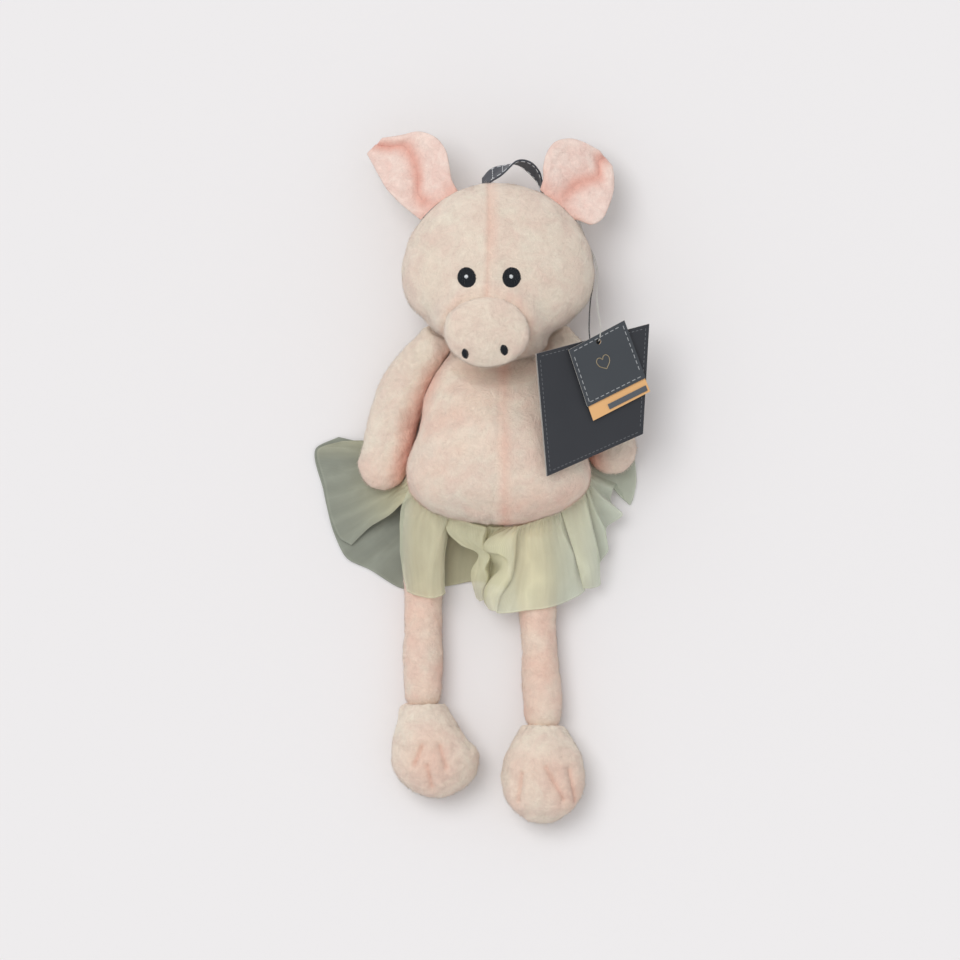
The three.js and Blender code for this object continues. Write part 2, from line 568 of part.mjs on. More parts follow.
const skirt = {
  skirt_back: {
    waist: [[-47, -14, 17], [-42, -23, 14], [-28, -27, 6], [-12, -30, 4.5], [4, -32, 4.5]],
    hem: [
      [-104, 2, floorCloth], [-119, -6, floorCloth], [-113, -33, floorCloth], [-107, -60, floorCloth],
      [-100, -77, floorCloth], [-82, -86, floorCloth], [-62, -98, floorCloth], [-34, -97, floorCloth],
      [-14, -93, floorCloth], [8, -98, floorCloth],
    ],
    fall: [9, 9], columns: 20, rows: [0, 0.07, 0.16, 0.3, 0.6, 1],
  },
  skirt_front_right: {
    waist: [[-58, -30, 33], [-50, -34.5, 35], [-41, -39, 35], [-31.5, -45, 34]],
    hem: [[-61, -99, overLeg - 5], [-55, -102, overLeg], [-47, -104.5, overLeg], [-38.5, -105.6, overLeg]],
    columns: 12, folds: 2, wave: 1.6,
  },
  skirt_front_left: {
    waist: [[-29, -46, 34], [-8, -51, 35], [14, -51, 35], [38, -42, 34]],
    hem: [
      [-11, -105, 12], [-5, -110, 18], [2, -114.6, overLeg - 2], [14, -114.6, overLeg], [30, -110.5, overLeg],
      [43.3, -108, 25], [54, -102.5, 17],
    ],
    columns: 22, folds: 5, wave: 3.4,
  },
  skirt_side_left: {
    waist: [[42, -39, 31], [50, -32, 29], [54, -25, 24], [52, -18, 16]],
    hem: [[58, -101, 15], [68, -90, 11], [76, -70, 8], [85, -49, 5], [93, -27, 2.6], [91, -6, floorCloth]],
    fall: [1, 6], columns: 16, folds: 3, wave: 1.2,
  },
};
for (const [name, panel] of Object.entries(skirt)) add(name, pleats(panel).subtract(torsoRoom), SAGE);

// Ribbon loop, sewn into the top of the head behind the face, turned over once along its run. Its points are
// measured from the top of the head.
const ribbonPoints = [
  [-9, -1.6, 34], [-4, 4.4, 35], [5, 8.9, 36], [14, 13.4, 36], [22, 10.4, 34], [28.5, 2.9, 30], [31, -6.6, 26],
];
const ribbonRun = new THREE.CatmullRomCurve3(ribbonPoints.map(([x, y, z]) => V(x, HEAD_TOP_Y + y, z)));
const RIBBON_STEPS = 18;
const ribbonRows = Array.from({ length: RIBBON_STEPS + 1 }, (_, i) => {
  const t = i / RIBBON_STEPS;
  const lean = THREE.MathUtils.degToRad(-38 + 76 * THREE.MathUtils.smoothstep(t, 0.1, 0.75));
  const c = ribbonRun.getPoint(t);
  const out = V(0, Math.sin(lean), Math.cos(lean)).multiplyScalar(RIBBON_WIDTH / 2);
  const thick = ribbonRun.getTangent(t).cross(out).normalize().multiplyScalar(RIBBON_THICKNESS / 2);
  const corners = [[-1, -1], [1, -1], [1, 1], [-1, 1]];
  return corners.map(([w, h]) => c.clone().addScaledVector(out, w).addScaledVector(thick, h));
});
add('ribbon_loop', solid(skin(ribbonRows)).subtract(headRoom), RIBBON);

// Hang tags: cards tilted down to the toy's left, each drawn round its own string hole
const tilt = new THREE.Matrix4().makeRotationY(THREE.MathUtils.degToRad(TAG_TILT));
const largeHole = V(...LARGE_HOLE);
const tagDrop = (SMALL_HOLE[0] - LARGE_HOLE[0]) * Math.tan(THREE.MathUtils.degToRad(TAG_TILT));
const smallHole = V(...SMALL_HOLE, LARGE_HOLE[2] - tagDrop);
function card(outline, low, high, hole) {
  const shape = new THREE.Shape(outline.map(([x, y]) => new THREE.Vector2(x, y)));
  const g = new THREE.ExtrudeGeometry(shape, { depth: high - low, bevelEnabled: false });
  g.translate(0, 0, low);
  return hole ? solid(g).subtract(rod([0, 0, 0], HOLE / 2, 60, 'z', 20)) : solid(g);
}
function place(shape, hole) {
  return shape.transform(new THREE.Matrix4().makeTranslation(...hole.toArray()).multiply(tilt).elements);
}
const largeOutline = [[-38.1, -5.6], [42.2, 14.1], [37.7, -58.6], [-30.4, -86.6]];
const foldEdge = [[-38.1, -5.6], [42.2, 14.1], [42.1, 12.9], [-38, -6.8]];
const backLeaf = -CARD - LARGE_TAG_FOLD_GAP;
add('swing_tag_large', place(union([
  card(largeOutline, -CARD, 0, true), card(largeOutline, backLeaf - CARD, backLeaf, true),
  card(foldEdge, backLeaf - CARD / 2, -CARD / 2, false),
]), largeHole), DARK_CARD);
const smallOutline = [[-21.2, -5.6], [18.3, 14], [33.5, -24], [-7.8, -43.2]];
const backingOutline = [[-20.8, -5.9], [17.9, 13.4], [37.1, -33], [-3.3, -52.3]];
const labelOutline = [[6.6, -41.5], [33.6, -28.9], [35.1, -32.2], [8.1, -44.8]];
add('swing_tag_backing', place(card(backingOutline, TAG_LIFT, TAG_LIFT + CARD * 0.7, true), smallHole), KRAFT);
const smallCard = TAG_LIFT + CARD * 0.7 + FIT;
const smallLeaf = card(smallOutline, smallCard, smallCard + CARD, true);
add('swing_tag_small', place(smallLeaf, smallHole), DARK_CARD_SMALL);
const label = TAG_LIFT + CARD * 0.7 + 0.35;
add('price_label', place(card(labelOutline, label, label + PAPER, false), smallHole), LABEL);

// Strings, from the ribbon's end behind the ear, round behind the cheek and up to the tag holes
function string(name, route, diameter, steps, look) {
  const section = new THREE.Shape(Array.from({ length: 8 }, (_, i) => new THREE.Vector2(
    Math.cos((i * Math.PI) / 4), Math.sin((i * Math.PI) / 4)).multiplyScalar(diameter / 2)));
  const path = new THREE.CatmullRomCurve3(route.map((p) => V(...p)));
  add(name, solid(new THREE.ExtrudeGeometry(section, { steps, extrudePath: path, bevelEnabled: false })), look);
}
const overHole = (hole, height, x, y) => V(x, y, height).applyMatrix4(tilt).add(hole).toArray();
const ribbonEnd = ribbonRun.getPoint(1);
const fromRibbon = (x, y, z) => [ribbonEnd.x + x, ribbonEnd.y + y, ribbonEnd.z + z];
string('tag_string_large', [
  fromRibbon(0.75, 1.6, 0), [38, 161.5, 25], [45, 156, 24], [52, 146, 22], [57, 132, 22], [62, 118, 26],
  [63.8, 104, 34], [62.3, 92, 45], [61.5, 79, 60], overHole(largeHole, 1.2, -0.9, 7),
  overHole(largeHole, 1.1, -0.4, 3), overHole(largeHole, 0.9, 0, 0.9), overHole(largeHole, -0.5, 0, 0),
], STRING_DARK, 36, DARK_STRING);
string('tag_string_small', [
  fromRibbon(0.7, 3.6, 2.5), [39, 163, 28], [46, 157.5, 27.5], [54.4, 145.5, 26], [57.2, 137, 25],
  [60.5, 129, 26], [64.3, 121.4, 30], [66.8, 112, 36], [66.3, 99.7, 46], [67.2, 86, 60],
  overHole(smallHole, 5.4, 0.6, 7), overHole(smallHole, 5, 0.2, 2.6), overHole(smallHole, 3.9, 0, 0.5),
  overHole(smallHole, 2.3, 0, 0.1),
], STRING_LIGHT, 36, LIGHT_STRING);

export default group;
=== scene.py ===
"""A plush pig in an organza skirt, lying on its back, with a ribbon loop and two hang tags on strings."""
import math

import bmesh
import bpy
import numpy as np
from mathutils import Matrix, Vector, noise


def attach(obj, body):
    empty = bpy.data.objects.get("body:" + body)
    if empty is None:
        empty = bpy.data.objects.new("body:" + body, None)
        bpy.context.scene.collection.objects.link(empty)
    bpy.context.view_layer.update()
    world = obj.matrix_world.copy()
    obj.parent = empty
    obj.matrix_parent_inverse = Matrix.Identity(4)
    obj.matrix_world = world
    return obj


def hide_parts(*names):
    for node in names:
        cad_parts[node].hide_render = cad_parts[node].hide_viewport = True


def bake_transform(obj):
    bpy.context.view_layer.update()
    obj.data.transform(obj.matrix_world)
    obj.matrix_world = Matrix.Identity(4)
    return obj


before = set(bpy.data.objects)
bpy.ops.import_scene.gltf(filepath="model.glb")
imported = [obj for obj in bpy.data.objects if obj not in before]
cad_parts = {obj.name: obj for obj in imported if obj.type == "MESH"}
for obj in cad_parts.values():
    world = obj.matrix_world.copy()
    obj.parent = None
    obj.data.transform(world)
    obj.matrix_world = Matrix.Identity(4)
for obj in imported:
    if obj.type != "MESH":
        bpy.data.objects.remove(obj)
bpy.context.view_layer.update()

# Camera: straight above the lying toy, level with the picture's edges, without perspective.
bpy.ops.object.camera_add(location=(-0.0106, -0.0264, 1.4))
camera = bpy.context.object
camera.name = "camera"
camera.data.type = "ORTHO"
camera.data.ortho_scale = 0.6336
bpy.context.scene.camera = camera


# Dark string: two-ply twisted cotton, tied to the ribbon's end behind the ear, passing behind the cheek and
# into the large tag's eyelet. The route is where the cord lies, in millimetres.
def curve_through(rows, gaps, count, pull=1.0):
    """Even steps along a smooth curve through rows of numbers that lie the given gaps apart."""
    along = np.concatenate(([0.0], np.cumsum(gaps)))
    slopes = np.gradient(rows, along, axis=0) * pull
    at = np.linspace(0, along[-1], count)
    i = np.clip(np.searchsorted(along, at, "right") - 1, 0, len(gaps) - 1)
    h = gaps[i][:, None]
    t = (at - along[i])[:, None] / h
    return ((2 * t**3 - 3 * t**2 + 1) * rows[i] + (t**3 - 2 * t**2 + t) * h * slopes[i]
            + (3 * t**2 - 2 * t**3) * rows[i + 1] + (t**3 - t**2) * h * slopes[i + 1])


def smooth_line(points, count):
    """Even steps along a smooth line through points, each a row that starts with its place."""
    points = np.array(points, float)
    return curve_through(points, np.maximum(np.linalg.norm(np.diff(points[:, :5], axis=0), axis=1), 1e-6), count)


def unit(rows):
    """Each row at a length of 1."""
    return rows / np.linalg.norm(rows, axis=1)[:, None]


def select_only(*objects):
    """Selects these and nothing else, with the first of them active."""
    bpy.ops.object.select_all(action="DESELECT")
    for each in objects:
        each.select_set(True)
    if objects:
        bpy.context.view_layer.objects.active = objects[0]


def put_in(name, data):
    """A new object in the scene."""
    made = bpy.data.objects.new(name, data)
    bpy.context.collection.objects.link(made)
    return made


def wire(name, points, radius, sides=2):
    """A round thread along points in metres, as a mesh."""
    line = bpy.data.curves.new(name, "CURVE")
    line.dimensions = "3D"
    spline = line.splines.new("POLY")
    spline.points.add(len(points) - 1)
    spline.points.foreach_set("co", np.column_stack((points, np.ones(len(points)))).ravel())
    line.bevel_depth, line.bevel_resolution, line.use_fill_caps = radius, sides, True
    select_only(put_in(name, line))
    bpy.ops.object.convert(target="MESH")
    return bpy.context.object


def join(name, objects):
    """Makes one piece of several, at the origin."""
    select_only(*objects)
    if len(objects) > 1:
        bpy.ops.object.join()
    piece = bpy.context.object
    bpy.ops.object.transform_apply(location=True, rotation=True, scale=True)
    piece.name = piece.data.name = name
    return piece


def add_node(tree, kind, inputs=None, **settings):
    """A node with its settings, whose inputs take values or other nodes' sockets."""
    made = tree.nodes.new(kind)
    for key, value in settings.items():
        setattr(made, key, value)
    for key, value in (inputs or {}).items():
        if isinstance(value, bpy.types.NodeSocket):
            tree.links.new(value, made.inputs[key])
        else:
            made.inputs[key].default_value = value
    return made


def signal(tree, kind, inputs=None, out=0, **settings):
    """What a new node puts out."""
    return add_node(tree, kind, inputs, **settings).outputs[out]


def noise_at(tree, place, scale, detail, **more):
    """A noise pattern at a place."""
    return signal(tree, "ShaderNodeTexNoise", {"Vector": place, "Scale": scale, "Detail": detail, **more}, "Fac")


def mapped(tree, value, *limits):
    """A value moved from one range to another: limits are the ends of the old, then of the new."""
    ends = zip(("From Min", "From Max", "To Min", "To Max"), limits)
    return signal(tree, "ShaderNodeMapRange", {"Value": value, **dict(ends)})


def calc(tree, operation, *values, kind="", out=0):
    """The result of a Math node, or of a Vector Math node where kind is Vector."""
    return signal(tree, f"ShaderNode{kind}Math", dict(enumerate(values)), out, operation=operation)


def mixed(tree, share, first, second, way="MIX"):
    """A mix of two colours, each its three values or another node's socket."""
    first, second = ((*each, 1) if isinstance(each, tuple) else each for each in (first, second))
    return signal(tree, "ShaderNodeMix", {0: share, 6: first, 7: second}, 2, data_type="RGBA", blend_type=way)


def new_material(name, colour, roughness, **constants):
    """A material with a Principled shader whose constants sit on its own sockets."""
    material = bpy.data.materials.new(name)
    material.use_nodes = True
    shader = material.node_tree.nodes["Principled BSDF"]
    shader.inputs["Base Color"].default_value = (*colour, 1)
    shader.inputs["Roughness"].default_value = roughness
    for socket, value in constants.items():
        shader.inputs[socket.replace("_", " ")].default_value = value
    material.diffuse_color = (*colour, 1)
    return material, material.node_tree


def dress(material, colour, height, strength, distance, **more):
    """Feeds a material's shader a colour and a relief, and gives the material back."""
    tree, shader = material.node_tree, material.node_tree.nodes["Principled BSDF"]
    relief = signal(tree, "ShaderNodeBump", {"Height": height, "Strength": strength, "Distance": distance, **more})
    tree.links.new(colour, shader.inputs["Base Color"])
    tree.links.new(relief, shader.inputs["Normal"])
    return material


def srgb(red, green, blue):
    """A colour read off as 0 to 255, made linear."""
    return tuple((c / 255 / 12.92) if c <= 10 else ((c / 255 + 0.055) / 1.055) ** 2.4 for c in (red, green, blue))


def mottled(name, light, dark, roughness, size, bump=0.2, **constants):
    """A finish whose colour drifts between two tones at one grain size, with the same grain in relief."""
    material, tree = new_material(name, light, roughness, **constants)
    grain = noise_at(tree, signal(tree, "ShaderNodeTexCoord", out="Object"), 1 / size, 4.0)
    return dress(material, mixed(tree, grain, light, dark), grain, bump, size)


DARK_ROUTE = [
    (31.75, 164.6, 26), (38, 161.5, 25), (45, 156, 24), (52, 146, 22), (57, 132, 22), (62, 118, 26), (63.8, 104, 34),
    (62.3, 92, 45), (61.5, 79, 60), (61.6, 69.6, 69), (62.05, 65.6, 68.8), (62.33, 63.5, 68.43), (61.82, 62.6, 67.14),
]
STRING_DARK = 0.0010
PLY_TURN = 0.0019       # one twist of the two plies
PLY_SIZE, PLY_OUT = 0.27, 0.23      # a ply's radius and its distance from the middle, in string widths


def two_ply(name, route, width, turn):
    """Two plies wound round a route."""
    line = smooth_line(np.array(route) / 1000, 421)
    ahead = unit(np.gradient(line, axis=0))
    side = unit(np.cross(ahead, (0.3, 0.2, 1.0)))
    lift = np.cross(side, ahead)
    run = np.concatenate(([0], np.cumsum(np.linalg.norm(np.diff(line, axis=0), axis=1))))
    plies = []
    for start in (0, math.pi):
        angle = (start + 2 * math.pi * run / turn)[:, None]
        out = PLY_OUT * width * (side * np.cos(angle) + lift * np.sin(angle))
        plies.append(wire(name, line + out, PLY_SIZE * width))
    return join(name, plies), line


dark_string, dark_line = two_ply("string_dark", DARK_ROUTE, STRING_DARK, PLY_TURN)
dark_string.data.materials.append(mottled("dark cotton", srgb(58, 59, 63), srgb(92, 92, 94), 0.8, 0.0004))
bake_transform(dark_string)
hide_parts("tag_string_large")

# Pale string: a thin elastic loop, so two strands lie side by side from the ribbon to the small tag's eyelet.
PALE_ROUTE = [
    (31.7, 166.6, 28.5), (39, 163, 28), (46, 157.5, 27.5), (54.4, 145.5, 26), (57.2, 137, 25), (60.5, 129, 26),
    (64.3, 121.4, 30), (66.8, 112, 36), (66.3, 99.7, 46), (67.2, 86, 60), (68.96, 72, 68.83), (68.44, 67.6, 68.61),
    (67.85, 65.5, 67.66), (67.25, 65.1, 66.18),
]
STRAND, STRAND_GAP = 0.0002, 0.00045    # a strand's radius, and half the widest gap between the middles of the two
pale_line = smooth_line(np.array(PALE_ROUTE) / 1000, 160)
share = np.linspace(0, 1, len(pale_line))[:, None]
apart = STRAND_GAP * (0.5 + 0.5 * np.sin(math.pi * share)) * np.array([[0.9, 0.1, 0.3]])
pale_string = join("string_pale", [wire("strand", pale_line + sign * apart, STRAND) for sign in (-1, 1)])
pale_string.data.materials.append(mottled("pale elastic", srgb(178, 178, 174), srgb(214, 213, 208), 0.5, 0.0005))
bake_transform(pale_string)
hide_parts("tag_string_small")

# Torso cover: pale pink short-pile plush in two front panels and a back, sewn along the middle of the belly
# and stuffed with fibre. It lies flat on its back, dented by the legs that are sewn in under its rim.
TORSO = [(0, 60, 20, 58, 41), (0, 50, 24.5, 70, 50), (0, 37, 26.5, 86, 54), (0.75, 8, 35.5, 102, 72),
         (1.5, -24, 37.5, 121, 76)]
TORSO_ENDS = (29, 32)
DOWN = (0, -1, 0)
BARE_BELOW = 2.5        # height over the table under which no pile shows


def section_line(stations, ends, axis=None, grow=0.0):
    """Centre, half width, half depth and direction down a stuffed form, its domed ends included, in mm."""
    line = np.array(stations, float)
    line[:, 3:] = line[:, 3:] / 2 + grow
    centre = line[:, :3]
    ahead = unit(np.gradient(centre, axis=0) if axis is None else np.tile(np.array(axis, float), (len(line), 1)))
    line = np.hstack((line, ahead))
    domes = []
    for end, sign, length in ((0, -1, ends[0]), (-1, 1, ends[1])):
        turn = np.linspace(0, math.pi / 2, 14)[1:, None]
        middle = centre[end] + sign * ahead[end] * (length + grow) * np.sin(turn)
        size = line[end, 3:5] * np.cos(turn)
        domes.append(np.hstack((middle, size, np.tile(ahead[end], (len(turn), 1)))))
    return np.vstack((domes[0][::-1], line, domes[1]))


def points_of(piece, scale=1000):
    """Where a mesh's points are, in mm unless another scale is given."""
    flat = np.empty(len(piece.data.vertices) * 3)
    piece.data.vertices.foreach_get("co", flat)
    return flat.reshape(-1, 3) * scale


def put_points(piece, points):
    """Sets a mesh's points, given in mm."""
    piece.data.vertices.foreach_set("co", (np.asarray(points) / 1000).ravel())
    piece.data.update()


def grid(name, columns, rows, shape):
    """A flat grid drawn out by shape(across, down), each from 0 to 1, into points in mm."""
    select_only()
    bpy.ops.mesh.primitive_grid_add(x_subdivisions=columns, y_subdivisions=rows, size=1, calc_uvs=True)
    piece = bpy.context.object
    piece.name = piece.data.name = name
    flat = points_of(piece, 1)
    put_points(piece, shape(flat[:, 0] + 0.5, flat[:, 1] + 0.5))
    bpy.ops.object.shade_smooth()
    return piece


def stuffed(name, stations, ends, axis=None, top=(0, 0, 1), segments=200, rings=140):
    """A stuffed cover: a sheet rolled over sections (x, y, z, width, depth) in mm, its seam and domed ends closed.

    A sheet is rolled, not a sphere stretched, because a UV sphere's faces come in another order at each run."""
    rows = smooth_line(section_line(stations, ends, axis), rings + 1)
    side = unit(np.cross(rows[:, 5:8], np.array(top, float)))
    lift = unit(np.cross(side, rows[:, 5:8]))

    def roll(across, down):
        row, turn = np.rint(down * rings).astype(int), math.pi / 2 - 2 * math.pi * across[:, None]
        return (rows[row, :3] + side[row] * rows[row, 3:4] * np.cos(turn)
                + lift[row] * rows[row, 4:5] * np.sin(turn))

    piece = grid(name, segments, rings, roll)
    piece.modifiers.new("Weld", "WELD").merge_threshold = 1e-6
    bpy.ops.object.modifier_apply(modifier="Weld")
    return piece


def ripple(points, size, seed=0.0):
    """Smooth uneven relief from about -1 to 1 at a wavelength in mm."""
    shift = Vector((seed * 7.3, seed * -3.1, seed * 5.7))
    return np.array([noise.fractal(Vector(p) / size + shift, 0.8, 2.1, 3) for p in points]) * 1.2


def swell(piece, rise):
    """Moves each point out along its normal by rise(points), both in mm."""
    points = points_of(piece)
    normals = np.empty(points.size)
    piece.data.vertices.foreach_get("normal", normals)
    put_points(piece, points + normals.reshape(-1, 3) * rise(points)[:, None])


def groove(distance, width):
    """A smooth furrow, 1 at its line and 0 away from it."""
    return np.exp(-(distance / width) ** 2)


def ramp(values):
    """Values held between 0 and 1."""
    return np.clip(values, 0, 1)


def turned(x, y, degrees):
    """A place turned about the origin, in plan."""
    c, s = math.cos(math.radians(degrees)), math.sin(math.radians(degrees))
    return c * x - s * y, s * x + c * y


def to_line(points, route):
    """Distance in mm from each point to a polyline, seen from above or in space as the route has 2 or 3 values."""
    route = np.array(route, float)
    p = points[:, :route.shape[1]]
    best = np.full(len(p), 1e9)
    for a, b in zip(route[:-1], route[1:]):
        t = ramp(((p - a) @ (b - a)) / ((b - a) @ (b - a)))[:, None]
        best = np.minimum(best, np.linalg.norm(p - a - t * (b - a), axis=1))
    return best


def to_middle(points, x, y, half=1, tall=1):
    """Distance in plan from x, y, counted in the half width and half height of an oval there."""
    return np.hypot((points[:, 0] - x) / half, (points[:, 1] - y) / tall)


def within(stations, ends, grow, turn=0.0, about=(0, 0)):
    """A test for points inside a form that runs down the body, grown in mm and turned in degrees about Z."""
    line = smooth_line(section_line(stations, ends, DOWN, grow), 200)[::-1]

    def inside(points):
        x, y = turned(points[:, 0] - about[0], points[:, 1] - about[1], -turn)
        x, y = x + about[0], y + about[1]
        cx, cz, half, deep = (np.interp(y, line[:, 1], line[:, k]) for k in (0, 2, 3, 4))
        hit = ((x - cx) / np.maximum(half, 1e-3)) ** 2 + ((points[:, 2] - cz) / np.maximum(deep, 1e-3)) ** 2 < 1
        return hit & (y > line[0, 1]) & (y < line[-1, 1])
    return inside


def keep_clear(piece, inside, toward):
    """Presses in each point that lies inside a neighbour's room, towards its own point in toward, until it is out."""
    points = points_of(piece)
    goal = np.broadcast_to(np.asarray(toward, float), points.shape)
    low, high = np.zeros(len(points)), np.ones(len(points))
    pressed = inside(points)
    for _ in range(12):
        middle = (low + high) / 2
        still = inside(points + (goal - points) * middle[:, None])
        low, high = np.where(still, middle, low), np.where(still, high, middle)
    put_points(piece, np.where(pressed[:, None], points + (goal - points) * high[:, None], points))


def flatten_back(piece, lowest=0.3):
    """Presses what would be under the table up to it."""
    points = points_of(piece)
    points[:, 2] = np.maximum(points[:, 2], lowest)
    put_points(piece, points)


def paint(piece, name, values):
    """A value for each point of the cloth, read by its material and its pile."""
    layer = piece.data.attributes.new(name, "FLOAT", "POINT")
    layer.data.foreach_set("value", np.asarray(values, np.float32))


def painted(tree, name, out="Fac"):
    """What a piece holds under a name, in its material."""
    return signal(tree, "ShaderNodeAttribute", out=out, attribute_name=name)


def plush_tint():
    """Node group: plush with cloudy patches, crushed nap, a pink blush that also carries painted crease shade, and
    fibres painted darker at the root and lighter at the tip; the fibres take the light of their cloth.
    """
    group = bpy.data.node_groups.new("Plush tint", "ShaderNodeTree")
    for name, way, kind in (("Light", "INPUT", "Color"), ("Deep", "INPUT", "Color"), ("Blush and shade", "INPUT", "Color"),
                            ("Patch size", "INPUT", "Float"), ("Color", "OUTPUT", "Color"),
                            ("Height", "OUTPUT", "Float"), ("Lay", "OUTPUT", "Vector")):
        group.interface.new_socket(name, in_out=way, socket_type=f"NodeSocket{kind}")
    given = add_node(group, "NodeGroupInput").outputs
    place = signal(group, "ShaderNodeTexCoord", out="Object")
    clouds = noise_at(group, place, given["Patch size"], 5.0, Roughness=0.62, Distortion=0.6)
    fluff = noise_at(group, place, 1400.0, 2.0)
    crushed = noise_at(group, place, 150.0, 6.0, Roughness=0.7, Distortion=1.6)
    cloth = mixed(group, mapped(group, clouds, 0.36, 0.64), given["Deep"], given["Light"])
    # The blush colour is mixed in as far as the painted blush value goes: partly the cloth's own pink tone, partly
    # painted shade in creases.
    warm = mixed(group, painted(group, "blush"), cloth, given["Blush and shade"])
    # Painted light and shade along each fibre: darker at the root, lighter at the tip.
    lift = mapped(group, painted(group, "tip"), 0, 1, 0.98, 1.12)
    fine = calc(group, "MULTIPLY", lift, mapped(group, fluff, 0.3, 0.7, 0.965, 1.035))
    both = calc(group, "MULTIPLY", fine, mapped(group, crushed, 0.3, 0.7, 0.935, 1.055))
    root = signal(group, "ShaderNodeVectorTransform", {"Vector": painted(group, "root normal", "Vector")},
                  vector_type="VECTOR", convert_from="OBJECT", convert_to="WORLD")
    own = signal(group, "ShaderNodeNewGeometry", out="Normal")
    steady = calc(group, "MULTIPLY_ADD", root, (2.5,) * 3, own, kind="Vector")
    add_node(group, "NodeGroupOutput", {"Color": mixed(group, 1.0, warm, both, "MULTIPLY"),
                                        "Height": calc(group, "MULTIPLY_ADD", crushed, 6.0, fluff),
                                        "Lay": calc(group, "NORMALIZE", steady, kind="Vector")})
    return group


PLUSH_TINT = plush_tint()


def plush(name, light, deep, blush, patch=60.0):
    """Short-pile plush cloth in the given tones."""
    material, tree = new_material(name, light, 0.95, Sheen_Weight=0.3, Sheen_Roughness=0.5, Specular_IOR_Level=0.1)
    material.cycles.use_bump_map_correction = False
    tones = {"Light": (*light, 1), "Deep": (*deep, 1), "Blush and shade": (*blush, 1), "Patch size": patch}
    tint = add_node(tree, "ShaderNodeGroup", tones, node_tree=PLUSH_TINT).outputs
    return dress(material, tint["Color"], tint["Height"], 0.5, 0.0005, Normal=tint["Lay"])


PILE_COUNT = 1.05e6     # fibres to the square metre
FIBRE_WIDTH = 0.12


def grow_pile(cloth, seed, length=1.7, comb=(0.1, -0.9, 0.0)):
    """The pile of a plush piece: tapered fibres combed one way and ruffled, where the cloth's nap is above 0."""
    tree = bpy.data.node_groups.new("Pile", "GeometryNodeTree")
    for way in ("INPUT", "OUTPUT"):
        tree.interface.new_socket("Geometry", in_out=way, socket_type="NodeSocketGeometry")

    def kept(geometry, name, value, kind):
        return signal(tree, "GeometryNodeStoreNamedAttribute",
                      {"Geometry": geometry, "Name": name, "Value": value}, data_type=kind)

    nap = signal(tree, "GeometryNodeInputNamedAttribute", {"Name": "nap"}, "Attribute", data_type="FLOAT")
    thick = calc(tree, "MULTIPLY", nap, PILE_COUNT)
    roots = add_node(tree, "GeometryNodeDistributePointsOnFaces",
                     {"Mesh": signal(tree, "NodeGroupInput"), "Density": thick, "Seed": seed}).outputs
    fibre = signal(tree, "GeometryNodeMeshCone", {"Vertices": 3, "Radius Top": 0.0, "Radius Bottom": FIBRE_WIDTH / 2000,
                                                  "Depth": length / 1000}, fill_type="NONE")
    where = signal(tree, "GeometryNodeInputPosition")
    height = signal(tree, "ShaderNodeSeparateXYZ", {"Vector": where}, "Z")
    marked = kept(fibre, "tip", calc(tree, "DIVIDE", height, length / 1000), "FLOAT")
    ruffle = signal(tree, "ShaderNodeTexNoise", {"Vector": where, "Scale": 95.0, "Detail": 3.0}, "Color")
    swirl = calc(tree, "SUBTRACT", ruffle, (0.5, 0.5, 0.5), kind="Vector")
    stray = signal(tree, "FunctionNodeRandomValue", {0: (-0.35,) * 3, 1: (0.35,) * 3, "Seed": seed + 1},
                   data_type="FLOAT_VECTOR")
    swirled = calc(tree, "MULTIPLY_ADD", swirl, (3.2,) * 3, comb, kind="Vector")
    messy = calc(tree, "ADD", swirled, stray, kind="Vector")
    lay = calc(tree, "MULTIPLY_ADD", roots["Normal"], (0.75,) * 3, messy, kind="Vector")
    rotation = signal(tree, "FunctionNodeAlignRotationToVector", {"Vector": lay}, axis="Z")
    size = signal(tree, "FunctionNodeRandomValue", {2: 0.65, 3: 1.1, "Seed": seed + 2}, 1, data_type="FLOAT")
    rooted = kept(roots["Points"], "root normal", roots["Normal"], "FLOAT_VECTOR")
    sown = signal(tree, "GeometryNodeInstanceOnPoints",
                  {"Points": rooted, "Instance": marked, "Rotation": rotation, "Scale": size})
    add_node(tree, "NodeGroupOutput", {0: signal(tree, "GeometryNodeRealizeInstances", {"Geometry": sown})})
    pile = put_in(cloth.name + "_pile", cloth.data.copy())
    pile.data.name = pile.name
    select_only(pile)
    pile.modifiers.new("Pile", "NODES").node_group = tree
    bpy.ops.object.modifier_apply(modifier="Pile")
    pile.data.materials.clear()
    pile.data.materials.append(cloth.data.materials[0])
    flatten_back(pile, 0.1)
    return pile


def tie(piece, body, slot, *nodes):
    """Ties a piece to its body and the nodes that it stands for; slot is not used."""
    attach(piece, body)
    if nodes:
        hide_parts(*nodes)


def finish_plush(cloth, body, nodes, material, slot="plush_pink", **pile):
    """Gives a plush piece its material and pile, and ties both to a body and to the nodes that they stand for."""
    cloth.data.materials.append(material)
    for piece in (cloth, grow_pile(cloth, **pile)):
        tie(piece, body, slot, *nodes)


PINK = plush("pink plush", srgb(239, 227, 210), srgb(233, 213, 198), srgb(240, 184, 164))
LEG_HEIGHT, LEG_WIDTH = 14.9, 25.4
HIP_RIGHT, HIP_LEFT = (-47.6, -45), (24, -52)
LEG_ROOM = 13.9         # half the leg's width with the room that it lifts through
CHIN_PATH = (40.2, 47.5)    # height of the chin's underside over the chest, and where it starts to clear it


def in_torso_room(points):
    """Where the legs lie and lift, and where the chin passes over the chest."""
    hit = points[:, 2] > CHIN_PATH[0] + 0.6 * np.maximum(CHIN_PATH[1] - points[:, 1], 0) ** 1.25
    for hip in (HIP_RIGHT, HIP_LEFT):
        for lift in (0, 10, 20, 30, 38, 45):
            way = np.array([0, -math.cos(math.radians(lift)), math.sin(math.radians(lift))])
            off = points - (*hip, LEG_HEIGHT)
            t = np.clip(off @ way, 0, 90)[:, None]
            hit |= np.linalg.norm(off - t * way, axis=1) < LEG_ROOM
    return hit


